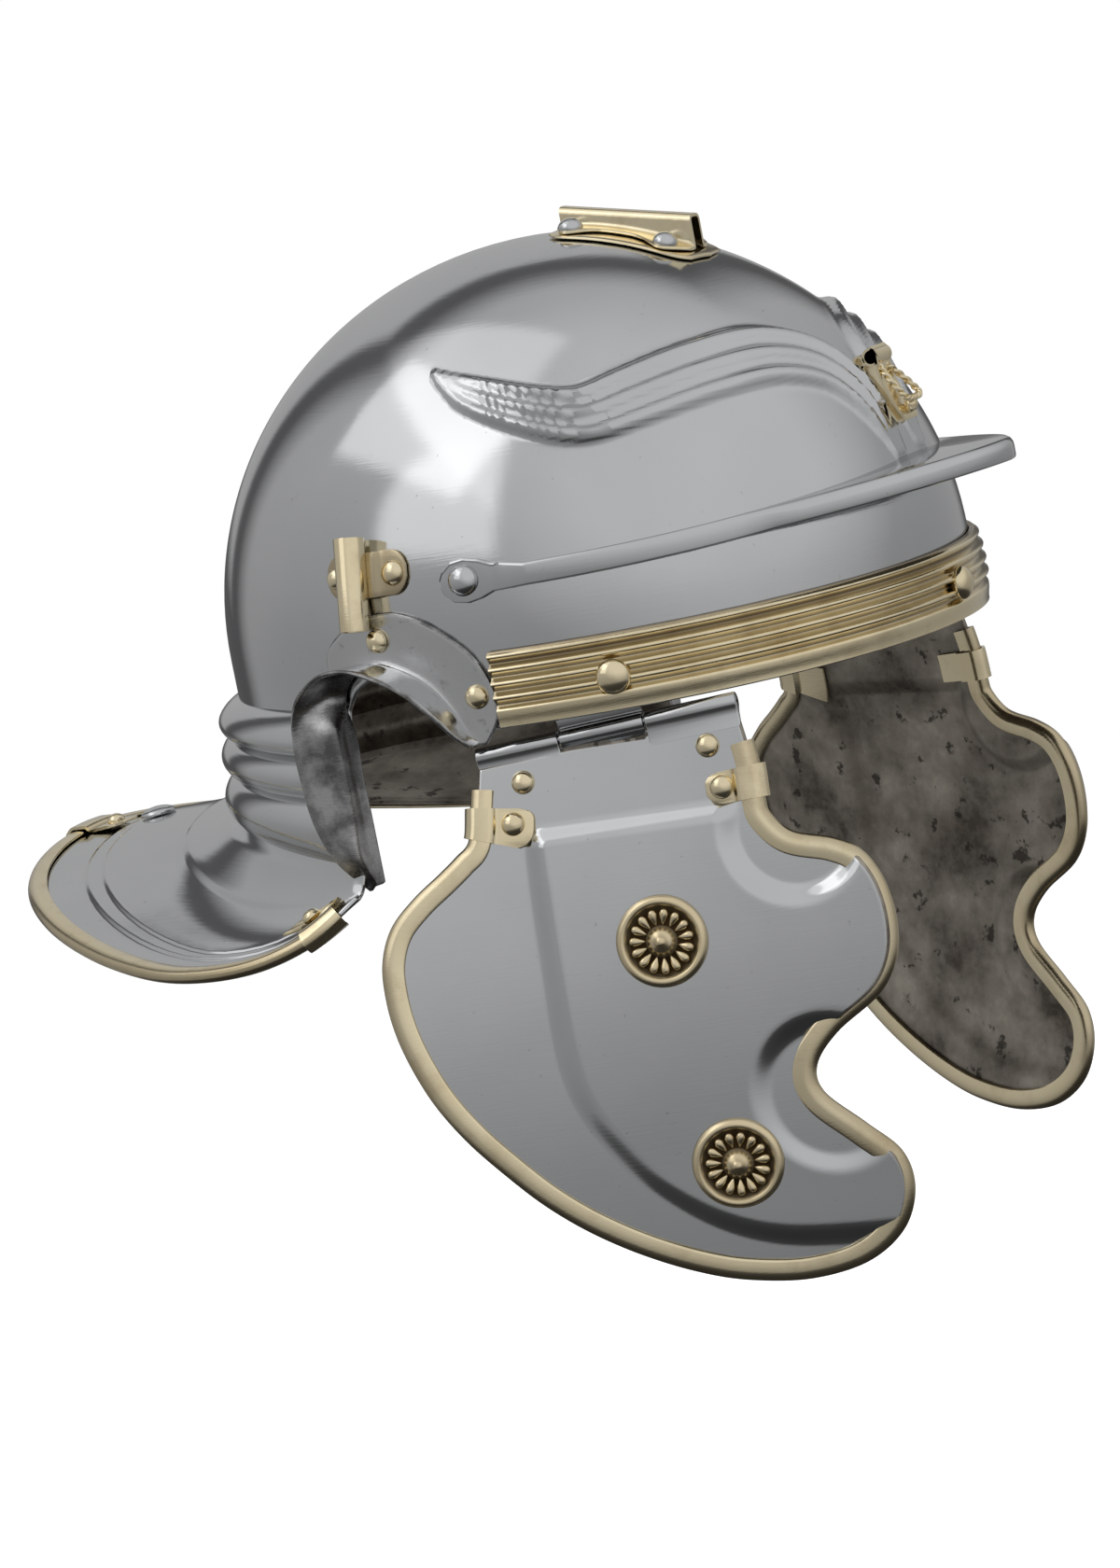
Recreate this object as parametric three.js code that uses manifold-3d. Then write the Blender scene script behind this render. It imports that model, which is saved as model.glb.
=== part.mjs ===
// Roman legionary helmet: iron bowl with a neck guard, brass trim and two hinged cheek pieces.
// Millimetres. The origin is the centre of the head opening in the plane of the brow rim,
// +X to the front, +Y to the wearer's left, +Z up. Side pieces are drawn for the left side
// and mirrored for the right.
import * as THREE from "three";
import { mergeGeometries, mergeVertices } from "three/addons/utils/BufferGeometryUtils.js";
import Module from "manifold-3d";

const wasm = await Module();
wasm.setup();

// Driving dimensions
const CLEAR = 0.3; // between pieces that touch on the real helmet
const STEEL = 1.6; // sheet thickness of the bowl and the cheek pieces
const THIN_STEEL = 1.3; // sheet thickness of the peak and the ear guards
const BRASS = 0.9; // sheet thickness of the fittings
const BOWL = { centreX: 3, halfLength: 111, halfWidth: 96, widest: 20, dome: 104 };
const BAND = { endAngle: 81, height: 20.5 };
const PEAK = { z: 42.9, rise: 2.8, lip: 5.4, centreX: 27.5, reach: 111.3, halfWidth: 90.8, fullness: 1.41 };
const HINGE = { x: 41.8, y: 85.5, z: -6, toeIn: 16, tilt: 3.5, roll: 2.5, bore: 1.4, pin: 1.1 };
const SWING = { right: 17, left: 11 }; // how far each cheek piece hangs out from the vertical
const CHEEK_BOW = { curl: 0.0013, twist: 0.002, twistDepth: 80 };
const PANEL = { height: 2, topV: 26, upper: [51, 33, 18.5], lower: [49, 103, 19.5] };
const EDGING = { width: 3.7, face: 2, nose: 2.3 };
const ROSETTES = [[11.6, 58.2], [20.9, 118.5]];
const CREST = { x: 37.4, lean: 11.5, length: 40.4, top: 125.5, slot: 4.4, flange: 8.5, plateHalf: 12 };
const TUBE = { x: -16, z: 31, length: 25.5, radius: 4, bore: 3.1, strapUp: 14 };

// The tab at each end of the peak, from the twist to its rounded end
const PEAK_TAB = [
  { x: 26, half: 4 },
  { x: 22, half: 5.2 },
  { x: 17, half: 6 },
  { x: 12, half: 5 },
  { x: 9.5, half: 2 },
];
const PEAK_TAB_DROP = 2.4; // of its middle below the ledge
const PEAK_TAB_WIDTH = 2.6; // least width of the ledge, where it twists into the tab

// Height in millimetres of the top of each ear opening over the rim, by plan angle in degrees
const EAR_OPENING = [
  { angle: 86, z: 0 },
  { angle: 88.5, z: 7 },
  { angle: 92, z: 13.5 },
  { angle: 96, z: 17.5 },
  { angle: 100.5, z: 18 },
  { angle: 104.5, z: 14.5 },
  { angle: 107, z: 9 },
];
const LEG_ANGLE = 107; // where the nape starts, behind the ear opening
const NAPE_TOP = 9;

// Three rolls of the nape, at the back: height, how far out of the bowl's wall, and how much
// lower the same line lies at the ear opening
const NAPE = [
  { z: 5, out: 6.6, sag: 3 },
  { z: -1, out: 3.8, sag: 3.3 },
  { z: -4.4, out: 7.4, sag: 3.5 },
  { z: -7.6, out: 7.6, sag: 3.7 },
  { z: -12, out: 4.8, sag: 4.2 },
  { z: -15.4, out: 8.6, sag: 4.8 },
  { z: -19, out: 8.8, sag: 6.2 },
  { z: -24.5, out: 6.2, sag: 10 },
];

// Outer edge of the neck guard from the ear's corner to the middle of the back
const GUARD_EDGE = [
  { x: -34, y: 100.5, z: -42 },
  { x: -47, y: 109, z: -50.8 },
  { x: -66, y: 112.8, z: -56 },
  { x: -92, y: 110, z: -57 },
  { x: -119.3, y: 99.3, z: -53.6 },
  { x: -146, y: 83.2, z: -47.8 },
  { x: -166.6, y: 64.4, z: -42 },
  { x: -180.2, y: 43.8, z: -37.8 },
  { x: -187.9, y: 21.5, z: -34.8 },
  { x: -189.8, y: 0, z: -33.5 },
];
// Rows of the neck guard: share of its width, how near the edge it may come, and the height
// of the embossed step there
const GUARD_ROWS = [
  { share: 0.28, step: 2.2 },
  { share: 0.34, step: 1.5 },
  { share: 0.68, inset: 14.5, step: 1.5 },
  { share: 0.73, inset: 13, step: 0.8 },
  { share: 0.79, inset: 11.5, step: 0 },
  { share: 1, step: 0 },
];

// Clips over the neck edging: plan angles they cover, length of the tab and place of its rivet
const NECK_CLIPS = [
  { name: "left", angles: [110, 113, 114.6], tab: 8.8, rivet: 6.9, lean: 1.3 },
  { name: "right", angles: [245.4, 247, 250], tab: 8.8, rivet: 6.9, lean: -1.3 },
  { name: "rear", angles: [177.2, 180, 182.8], tab: 15.5, rivet: 10.4, lean: 0 },
];
const CLIP_FOLD = 4.8; // from the edge to where the strap comes off the edging
const CLIP_LIFT = 1.5; // of the tab's end off the sheet

// Middle line and half width of the raised eyebrow, from its rear tip to the brow
const EYEBROW = [
  { x: 4, y: 67, z: 94, half: 1 },
  { x: 18, y: 72, z: 87, half: 5.5 },
  { x: 35, y: 73, z: 81, half: 7.5 },
  { x: 48, y: 69, z: 77, half: 9 },
  { x: 60, y: 60, z: 79, half: 10 },
  { x: 74, y: 45, z: 82, half: 10.5 },
  { x: 85, y: 28, z: 82, half: 10.5 },
  { x: 94, y: 15, z: 76, half: 9.5 },
  { x: 102, y: 9, z: 65, half: 7 },
  { x: 109, y: 7, z: 50, half: 3 },
];

// Brow band's section: height over the rim and how far proud of the bowl
const BAND_SECTION = [
  { z: 20.5, out: 1.6 },
  { z: 19, out: 3 },
  { z: 17.4, out: 1.7 },
  { z: 15.6, out: 3.6 },
  { z: 13.7, out: 2 },
  { z: 11.8, out: 3.8 },
  { z: 9.9, out: 2 },
  { z: 8, out: 3.8 },
  { z: 6, out: 2 },
  { z: 4.4, out: 3 },
  { z: 0, out: 2.8 },
];

// Ear guard from its front tip over the ear to the neck guard's corner. The edge lies on the
// bowl, the root is where the sheet turns out, and the rim stands out from the wall.
const EAR_GUARD = [
  { edgeX: 15, edgeZ: -3.6, rootX: 12.8, rootZ: -3.8, rimX: 10.5, rimZ: -4, out: 2 },
  { edgeX: 19.5, edgeZ: 3, rootX: 10, rootZ: 0, rimX: 8.5, rimZ: -1, out: 6 },
  { edgeX: 19, edgeZ: 12, rootX: 7.5, rootZ: 6, rimX: 5.5, rimZ: 4.5, out: 9 },
  { edgeX: 14.5, edgeZ: 21, rootX: 3, rootZ: 12.5, rimX: 0, rimZ: 12.5, out: 12 },
  { edgeX: 5, edgeZ: 29, rootX: -4, rootZ: 17.5, rimX: -7, rimZ: 18, out: 14 },
  { edgeX: -5, edgeZ: 33.5, rootX: -12, rootZ: 20.5, rimX: -14.5, rimZ: 21, out: 14.5 },
  { edgeX: -15, edgeZ: 33.5, rootX: -18.5, rootZ: 20.5, rimX: -22.5, rimZ: 20.5, out: 14.5 },
  { edgeX: -25, edgeZ: 30, rootX: -24, rootZ: 18, rimX: -30, rimZ: 16.5, out: 14 },
  { edgeX: -32, edgeZ: 22, rootX: -28, rootZ: 13, rimX: -35, rimZ: 10.5, out: 13.5 },
];
const EAR_LEG = [
  { z: 4, rimX: -38, rimZ: 2, out: 13 },
  { z: -8, rimX: -38.5, rimZ: -8, out: 12.5 },
  { z: -20, rimX: -37.5, rimZ: -20.5, out: 12 },
  { z: -31, rimX: -35.5, rimZ: -32, out: 11 },
  { z: -38.4, rimX: -31.5, rimZ: -39.8, out: 9.2 },
];
const LEG_X = -28;

// Outline of a cheek piece with its edging, u along the hinge to the front and v down from it
const CHEEK_ROWS = [
  { rearU: -34.5, rearV: 5.4, frontU: 42, frontV: 0.8 },
  { rearU: -36, rearV: 15, frontU: 44, frontV: 14 },
  { rearU: -37.6, rearV: 24.4, frontU: 44.2, frontV: 24.4 },
  { rearU: -41.6, rearV: 28.2, frontU: 45, frontV: 28.6 },
  { rearU: -47, rearV: 32.3, frontU: 50, frontV: 34 },
  { rearU: -55, rearV: 38, frontU: 60.5, frontV: 37.3 },
  { rearU: -62, rearV: 45, frontU: 67.5, frontV: 41.5 },
  { rearU: -65.6, rearV: 54, frontU: 72, frontV: 49.5 },
  { rearU: -66, rearV: 64, frontU: 73.6, frontV: 60 },
  { rearU: -64.6, rearV: 74, frontU: 72, frontV: 70 },
  { rearU: -61.5, rearV: 84, frontU: 66, frontV: 79 },
  { rearU: -57, rearV: 94, frontU: 53, frontV: 87.6 },
  { rearU: -50.5, rearV: 104, frontU: 46, frontV: 95.5 },
  { rearU: -42.5, rearV: 113.5, frontU: 46.5, frontV: 103 },
  { rearU: -33, rearV: 123.4, frontU: 56, frontV: 112.5 },
  { rearU: -22, rearV: 132.2, frontU: 64, frontV: 121 },
  { rearU: -9, rearV: 140, frontU: 65.4, frontV: 131 },
  { rearU: 5, rearV: 146.2, frontU: 60.5, frontV: 141.3 },
  { rearU: 18, rearV: 149.8, frontU: 49.5, frontV: 148.6 },
  { rearU: 34, rearV: 151.3, frontU: 34, frontV: 151.3 },
];
// Rear and lower border of the raised panel on a cheek piece
const PANEL_EDGE = [
  { v: 0, u: -19.5 },
  { v: 88, u: -19.2 },
  { v: 100, u: -16 },
  { v: 112, u: -9 },
  { v: 122.5, u: -0.6 },
  { v: 132.6, u: 13 },
  { v: 138.5, u: 28.5 },
  { v: 140, u: 70 },
];

const steel = { color: 0x9b9c9e, roughness: 0.22, metalness: 1 };
const brass = { color: 0xc6b078, roughness: 0.26, metalness: 1 };
const helmet = new THREE.Group();

// Arithmetic
function vec(x, y, z) {
  return new THREE.Vector3(x, y, z);
}

function radians(degrees) {
  return THREE.MathUtils.degToRad(degrees);
}

function steps(from, to, count) {
  return Array.from({ length: count + 1 }, (_, i) => from + ((to - from) * i) / count);
}

function lookUp(table, key, value, at) {
  const next = table.findIndex((row) => row[key] >= at);
  if (next <= 0) return table[next === 0 ? 0 : table.length - 1][value];
  const [low, high] = [table[next - 1], table[next]];
  return THREE.MathUtils.mapLinear(at, low[key], high[key], low[value], high[value]);
}

// Solids
function tidy(geometry) {
  geometry.deleteAttribute("normal");
  geometry.deleteAttribute("uv");
  const merged = mergeVertices(geometry, 1e-3);
  const kept = [];
  for (let i = 0; i < merged.index.count; i += 3) {
    const [a, b, c] = [0, 1, 2].map((k) => merged.index.getX(i + k));
    if (a !== b && b !== c && c !== a) kept.push(a, b, c);
  }
  merged.setIndex(kept);
  return merged;
}

function surface(points, triangles) {
  const geometry = new THREE.BufferGeometry().setFromPoints(points);
  geometry.setIndex(triangles);
  return geometry;
}

function facingOut(geometry) {
  const [a, b, c] = [vec(0, 0, 0), vec(0, 0, 0), vec(0, 0, 0)];
  const { position } = geometry.attributes;
  let volume = 0;
  for (let i = 0; i < geometry.index.count; i += 3) {
    a.fromBufferAttribute(position, geometry.index.getX(i));
    b.fromBufferAttribute(position, geometry.index.getX(i + 1));
    c.fromBufferAttribute(position, geometry.index.getX(i + 2));
    volume += a.dot(b.cross(c));
  }
  if (volume < 0) geometry.setIndex([...geometry.index.array].reverse());
  return geometry;
}

function mirrored(geometry) {
  const copy = geometry.clone().scale(1, -1, 1);
  return facingOut(copy);
}

// A grid of quads through pointAt(column, row)
function patch(columns, rows, pointAt) {
  const points = rows.flatMap((row) => columns.map((column) => pointAt(column, row)));
  const triangles = [];
  for (let j = 0; j + 1 < rows.length; j++) {
    for (let i = 0; i + 1 < columns.length; i++) {
      const corner = j * columns.length + i;
      const below = corner + columns.length;
      triangles.push(corner, below, corner + 1, corner + 1, below, below + 1);
    }
  }
  return surface(points, triangles);
}

// Sheet metal: the patches joined into one face, and a second face at the given distance along
// its normal, with rims all round the open borders
function sheet(patches, from, to) {
  const face = tidy(patches.length > 1 ? mergeGeometries(patches) : patches[0]);
  face.computeVertexNormals();
  const { position, normal } = face.attributes;
  const count = position.count;
  const points = [from, to].flatMap((distance) =>
    steps(0, count - 1, count - 1).map((i) =>
      vec(0, 0, 0).fromBufferAttribute(normal, i).multiplyScalar(distance)
        .add(vec(0, 0, 0).fromBufferAttribute(position, i))));
  const front = [...face.index.array];
  const triangles = [...front, ...front.toReversed().map((i) => i + count)];
  const edges = new Set();
  for (let i = 0; i < front.length; i += 3) {
    for (const k of [0, 1, 2]) edges.add(`${front[i + k]} ${front[i + ((k + 1) % 3)]}`);
  }
  for (const edge of edges) {
    const [a, b] = edge.split(" ").map(Number);
    if (!edges.has(`${b} ${a}`)) triangles.push(b, a, a + count, b, a + count, b + count);
  }
  return facingOut(surface(points, triangles));
}

// A solid through a row of closed outlines with equal numbers of points
function loft(outlines) {
  const sides = outlines[0].length;
  const last = outlines.length - 1;
  const skin = patch(steps(0, sides, sides), steps(0, last, last),
    (column, row) => outlines[row][column % sides].clone());
  const ends = [cap(outlines[0], true), cap(outlines[last], false)];
  return facingOut(tidy(mergeGeometries([skin, ...ends])));
}

// A flat end over an outline; the outline is flattened onto its own plane to be triangulated
function cap(outline, first) {
  const normal = vec(0, 0, 0);
  outline.forEach((point, i) => normal.add(point.clone().cross(outline[(i + 1) % outline.length])));
  const flat = new THREE.Quaternion().setFromUnitVectors(normal.normalize(), vec(0, 0, 1));
  const drawn = outline.map((point) => point.clone().applyQuaternion(flat));
  const triangles = THREE.ShapeUtils.triangulateShape(drawn.map((p) => new THREE.Vector2(p.x, p.y)), []);
  return surface(outline, triangles.flatMap((t) => (first ? t : t.toReversed())));
}

// A section of [across, up] points carried along frames of { origin, across, up }
function sweep(frames, section) {
  const outlines = frames.map(({ origin, across, up }) => section.map(([a, b]) =>
    origin.clone().addScaledVector(across, a).addScaledVector(up, b)));
  return loft(outlines);
}

function toManifold(geometry) {
  const vertProperties = new Float32Array(geometry.attributes.position.array);
  const triVerts = new Uint32Array(geometry.index.array);
  return new wasm.Manifold(new wasm.Mesh({ numProp: 3, vertProperties, triVerts }));
}

function fromManifold(solid) {
  const { vertProperties, triVerts } = solid.getMesh();
  const geometry = new THREE.BufferGeometry();
  geometry.setAttribute("position", new THREE.BufferAttribute(vertProperties, 3));
  geometry.setIndex([...triVerts]);
  return tidy(geometry);
}

function joined(...geometries) {
  return fromManifold(geometries.map(toManifold).reduce((all, next) => all.add(next)));
}

function cut(geometry, ...tools) {
  const solid = toManifold(geometry);
  return fromManifold(tools.map(toManifold).reduce((rest, tool) => rest.subtract(tool), solid));
}

function add(parent, name, geometry, finish) {
  const mesh = new THREE.Mesh(geometry, new THREE.MeshStandardMaterial(finish));
  mesh.name = name;
  parent.add(mesh);
  return mesh;
}

function addPair(name, geometry, finish) {
  add(helmet, `${name}_left`, geometry, finish);
  add(helmet, `${name}_right`, mirrored(geometry), finish);
}

// A domed rivet head, standing on the XY plane
function rivetHead(radius, height, sides = 7) {
  const outline = [[0, 0], [radius, 0], [radius * 0.78, height * 0.68], [0, height]];
  const lathe = new THREE.LatheGeometry(outline.map(([x, y]) => new THREE.Vector2(x, y)), sides);
  return facingOut(tidy(lathe.rotateX(Math.PI / 2)));
}

function addRivet(parent, name, point, normal, radius, height, finish) {
  const mesh = add(parent, name, rivetHead(radius, height), finish);
  mesh.position.copy(point).addScaledVector(normal, CLEAR);
  mesh.quaternion.setFromUnitVectors(vec(0, 0, 1), normal);
}

// The bowl's wall: plan angle in degrees from the front, height, and distance out of the wall
function narrowing(z) {
  return z > BOWL.widest ? Math.sqrt(Math.max(0, 1 - ((z - BOWL.widest) / BOWL.dome) ** 2)) : 1;
}

function wall(angle, z, out = 0) {
  const turn = radians(angle);
  const scale = narrowing(z);
  const x = BOWL.centreX + (BOWL.halfLength * scale + out) * Math.cos(turn);
  return vec(x, (BOWL.halfWidth * scale + out) * Math.sin(turn), z);
}

function angleAt(x, z) {
  return THREE.MathUtils.radToDeg(Math.acos((x - BOWL.centreX) / (BOWL.halfLength * narrowing(z))));
}

function wallAt(x, z, out = 0) {
  return wall(angleAt(x, z), z, out);
}

function bowlNormal(point) {
  const lift = Math.max(0, point.z - BOWL.widest);
  return vec((point.x - BOWL.centreX) / BOWL.halfLength ** 2, point.y / BOWL.halfWidth ** 2,
    lift / BOWL.dome ** 2).normalize();
}

// The point of the dome in the direction of the given one, moved out along the dome's normal
function onDome(x, y, z, out = 0) {
  const ray = vec(x - BOWL.centreX, y, z - BOWL.widest);
  const size = vec(ray.x / BOWL.halfLength, ray.y / BOWL.halfWidth, ray.z / BOWL.dome).length();
  const point = ray.divideScalar(size).add(vec(BOWL.centreX, 0, BOWL.widest));
  return point.addScaledVector(bowlNormal(point), out);
}

// The point over the given x and y whose distance out of the dome is as stated
function overDome(x, y, out) {
  const point = vec(x, y, 0);
  const share = ((x - BOWL.centreX) / BOWL.halfLength) ** 2 + (y / BOWL.halfWidth) ** 2;
  point.z = BOWL.widest + BOWL.dome * Math.sqrt(1 - share);
  point.z += out / bowlNormal(point).z;
  return point;
}

function rimHeight(angle) {
  const off = Math.abs(angle);
  if (off >= LEG_ANGLE) return NAPE_TOP;
  return off <= EAR_OPENING[0].angle ? 0 : lookUp(EAR_OPENING, "angle", "z", off);
}

// Bowl, nape and neck guard are one sheet
function guardEdge() {
  const half = GUARD_EDGE.map(({ x, y, z }) => vec(x, y, z));
  const other = half.slice(0, -1).reverse().map((p) => vec(p.x, -p.y, p.z));
  return new THREE.CatmullRomCurve3([...half, ...other]);
}

const NAPE_ANGLES = steps(LEG_ANGLE, 360 - LEG_ANGLE, 16);
NAPE_ANGLES.splice(1, 0, LEG_ANGLE + 3, LEG_ANGLE + 6);
NAPE_ANGLES.splice(-1, 0, 360 - LEG_ANGLE - 6, 360 - LEG_ANGLE - 3);
const guardCurve = guardEdge();

function napePoint(angle, row) {
  const side = Math.abs(angle - 180) / (180 - LEG_ANGLE);
  const z = row.z - row.sag * side ** 2;
  const flush = NAPE_TOP - z;
  const out = side > 0.999 ? Math.min(row.out, flush * 0.14) : row.out;
  return wall(angle, z, out);
}

function guardPoint(angle, { share, inset = 0, step }) {
  const inner = napePoint(angle, NAPE.at(-1));
  const outer = guardCurve.getPoint((angle - LEG_ANGLE) / (360 - 2 * LEG_ANGLE));
  const width = inner.distanceTo(outer);
  const reach = inset ? Math.min(share, Math.max(share * 0.7, 1 - inset / width)) : share;
  const point = inner.clone().lerp(outer, reach);
  point.z = inner.z + (outer.z - inner.z) * (1 - (1 - reach) ** 2.5);
  point.z += step * THREE.MathUtils.smoothstep(width, 22, 55);
  return point;
}

function bowl() {
  const ear = EAR_OPENING.map((row) => row.angle);
  const half = [...steps(0, 77, 7), ...ear, ...NAPE_ANGLES.slice(1).filter((angle) => angle < 180.5)];
  const around = [...half, ...half.slice(1, -1).reverse().map((angle) => 360 - angle), 360];
  const tilts = [0, 16, 31, 45, 59, 74, 90];
  const dome = patch(around, [...tilts, "rim"], (angle, tilt) => {
    const rim = rimHeight(angle > 180 ? angle - 360 : angle);
    const z = tilt === "rim" ? rim : BOWL.widest + BOWL.dome * Math.cos(radians(tilt));
    return tilt === 0 ? vec(BOWL.centreX, 0, z) : wall(angle, z);
  });
  const nape = patch(NAPE_ANGLES, [{ z: NAPE_TOP, out: 0, sag: 0 }, ...NAPE], napePoint);
  const guard = patch(NAPE_ANGLES, [{ share: 0, step: 0 }, ...GUARD_ROWS], guardPoint);
  const shell = sheet([dome, nape, guard], 0, -STEEL);
  return joined(shell, eyebrow(1), eyebrow(-1));
}

// A raised eyebrow with two ridges, let into the bowl's sheet
function eyebrow(side) {
  const curve = new THREE.CatmullRomCurve3(EYEBROW.map(({ x, y, z }) => vec(x, side * y, z)));
  const stations = steps(0, 1, 13);
  const section = [[-1, -0.8], [-1, 0.1], [-0.65, 1.6], [-0.1, 1], [0.45, 2], [1, 0.1], [1, -0.8]];
  return loft(stations.map((at) => {
    const origin = curve.getPoint(at);
    const point = onDome(origin.x, origin.y, origin.z);
    const up = bowlNormal(point);
    const across = curve.getTangent(at).cross(up).normalize();
    const index = at * (EYEBROW.length - 1);
    const low = EYEBROW[Math.floor(index)];
    const high = EYEBROW[Math.ceil(index)];
    const half = THREE.MathUtils.lerp(low.half, high.half, index % 1);
    return section.map(([a, b]) => {
      const p = point.clone().addScaledVector(across, a * half * side);
      return onDome(p.x, p.y, p.z, b);
    });
  }));
}

function browBand() {
  const section = [...BAND_SECTION.map(({ z, out }) => [out, z]), [CLEAR, 0], [CLEAR, BAND.height]];
  return loft(steps(-BAND.endAngle, BAND.endAngle, 24).map((angle) =>
    section.map(([out, z]) => wall(angle, Math.min(z, BOWL.widest), out).setZ(z))));
}

// Peak: a ledge whose edge is a full-cornered oval in plan, with a turned-down lip
function peakLedge() {
  const power = 2 / PEAK.fullness;
  return steps(-84, 84, 22).map((turn) => {
    const [forward, aside] = [Math.cos(radians(turn)), Math.sin(radians(turn))];
    const x = PEAK.centreX + PEAK.reach * forward ** power;
    const y = PEAK.halfWidth * Math.sign(aside) * Math.abs(aside) ** power;
    const top = PEAK.z + PEAK.rise * forward ** (2 * power);
    const plan = Math.atan2(y / BOWL.halfWidth, (x - BOWL.centreX) / BOWL.halfLength);
    const angle = THREE.MathUtils.radToDeg(plan);
    const width = Math.max(PEAK_TAB_WIDTH, wall(angle, top, CLEAR).distanceTo(vec(x, y, top)));
    const low = top - THIN_STEEL;
    const inside = width - THIN_STEEL;
    return [[CLEAR, low], [CLEAR, top], [width, top], [width, top - PEAK.lip],
      [inside, top - PEAK.lip], [inside, low]].map(([out, z]) => wall(angle, top, out).setZ(z));
  });
}

// The peak with the tab at each end that turns flat on the bowl and is riveted to it
function peak() {
  const far = CLEAR + THIN_STEEL;
  const tabOutline = (side) => ({ x, half }) => {
    const z = PEAK.z - PEAK_TAB_DROP;
    const corners = [[CLEAR, z - half], [CLEAR, z + half], [far, z + half], [far, z], [far, z - half],
      [(CLEAR + far) / 2, z - half - 0.3]];
    return corners.map(([out, height]) => wall(side * angleAt(x, height), height, out));
  };
  const rearwards = PEAK_TAB.toReversed();
  return loft([...rearwards.map(tabOutline(-1)), ...peakLedge(), ...PEAK_TAB.map(tabOutline(1))]);
}

function earGuard() {
  const arch = EAR_GUARD.map((row) => {
    const midX = row.rootX * 0.55 + row.rimX * 0.45;
    const midZ = row.rootZ * 0.75 + row.rimZ * 0.25;
    return [
      wallAt(row.edgeX, row.edgeZ, CLEAR),
      wallAt(row.rootX, row.rootZ, CLEAR + 0.2),
      wallAt(midX, midZ, CLEAR + row.out * 0.4),
      wallAt(row.rimX, row.rimZ, row.out),
    ];
  });
  const leg = EAR_LEG.map((row) => {
    const reach = Math.min(8.4, row.out - 1);
    return [
      wallAt(LEG_X, row.z, 0.4),
      wallAt(LEG_X, row.z, 3),
      wallAt(LEG_X - 0.2, row.z, reach),
      wallAt(row.rimX, row.rimZ, row.out),
    ];
  });
  const rows = [...arch, ...leg];
  const face = patch(steps(0, 3, 3), steps(0, rows.length - 1, rows.length - 1),
    (column, row) => rows[row][column].clone());
  return sheet([face], 0, -THIN_STEEL);
}

// Crest holder: a folded channel on two wide scalloped feet, over a plate that follows the bowl
function crestPlate() {
  const half = CREST.length / 2 - 1;
  const face = patch(steps(-1, 1, 4), steps(-1, 1, 6), (side, along) => {
    const corner = Math.abs(along) === 1 ? 0.7 : 1;
    const point = side === 0 && along === 1 ? 1.1 : along;
    return overDome(CREST.x + point * half, side * CREST.plateHalf * corner, CLEAR);
  });
  return sheet([face], 0, BRASS);
}

// Scallops of the crest holder's feet: share of its half length, and of the feet's full width
const CREST_FOOT = [
  { share: -1, reach: 0.6 },
  { share: -0.85, reach: 0.95 },
  { share: -0.6, reach: 1 },
  { share: -0.35, reach: 0.6 },
  { share: 0.2, reach: 0.6 },
  { share: 0.45, reach: 1 },
  { share: 0.7, reach: 0.95 },
  { share: 0.85, reach: 0.5 },
  { share: 1, reach: 0.3 },
];

function crestHolder() {
  const half = CREST.slot / 2;
  const outer = half + BRASS;
  const base = (x, y) => overDome(x, y, CLEAR * 2 + BRASS).z;
  return loft(CREST_FOOT.map(({ share, reach }) => {
    const x = CREST.x + (share * CREST.length) / 2;
    const wide = outer + CREST.flange * reach;
    const top = CREST.top - Math.tan(radians(CREST.lean)) * (x - CREST.x);
    const right = [[wide, base(x, wide)], [wide, base(x, wide) + BRASS], [outer, base(x, outer) + BRASS],
      [outer, top]];
    const left = right.toReversed().map(([y, z]) => [-y, z]);
    const tunnel = [[-half, base(x, half)], [-half, top - BRASS], [half, top - BRASS], [half, base(x, half)]];
    return [...right, ...left, ...tunnel].map(([y, z]) => vec(x, y, z));
  }));
}

function crestRivetPoint(share, side) {
  const y = side * (CREST.slot / 2 + BRASS + CREST.flange * 0.52);
  return overDome(CREST.x + (share * CREST.length) / 2, y, CLEAR * 2 + BRASS * 2);
}

// Strap of the plume tube: how far along from the tube, its half width and its lift off the bowl
const TUBE_STRAP = [
  { along: -12.5, half: 3, lift: 0 },
  { along: -10.5, half: 6, lift: 0 },
  { along: -5, half: 6.5, lift: 0.2 },
  { along: 0, half: 6.5, lift: 1 },
  { along: 5, half: 6.5, lift: 0.2 },
  { along: 12, half: 6.2, lift: 0 },
  { along: 15, half: 3, lift: 0 },
];

// Plume tube on a strap that is riveted on the bowl at both ends
function plumeTube() {
  const away = TUBE.radius + CLEAR + BRASS + 0.6; // the lift of the strap and the tube's solder
  const low = wallAt(TUBE.x, TUBE.z, away);
  const high = wallAt(TUBE.x + 0.5, TUBE.z + TUBE.length, away);
  const axis = high.clone().sub(low).normalize();
  const pipe = placedPipe(low, axis, TUBE.length, TUBE.radius, TUBE.bore);
  const bore = placedRod(low.clone().addScaledVector(axis, -1), axis, TUBE.length + 2, TUBE.bore);
  const middle = TUBE.z + TUBE.strapUp;
  const strap = loft(TUBE_STRAP.map(({ along, half, lift }) => [
    wallAt(TUBE.x + along, middle - half, CLEAR + lift),
    wallAt(TUBE.x + along, middle + half, CLEAR + lift),
    wallAt(TUBE.x + along, middle + half, CLEAR + lift + BRASS),
    wallAt(TUBE.x + along, middle - half, CLEAR + lift + BRASS),
  ]));
  return cut(joined(pipe, strap), bore);
}

function placedRod(from, axis, length, radius, sides = 10) {
  const rod = new THREE.CylinderGeometry(radius, radius, length, sides).translate(0, length / 2, 0);
  rod.applyQuaternion(new THREE.Quaternion().setFromUnitVectors(vec(0, 1, 0), axis));
  return facingOut(tidy(rod.translate(from.x, from.y, from.z)));
}

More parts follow.
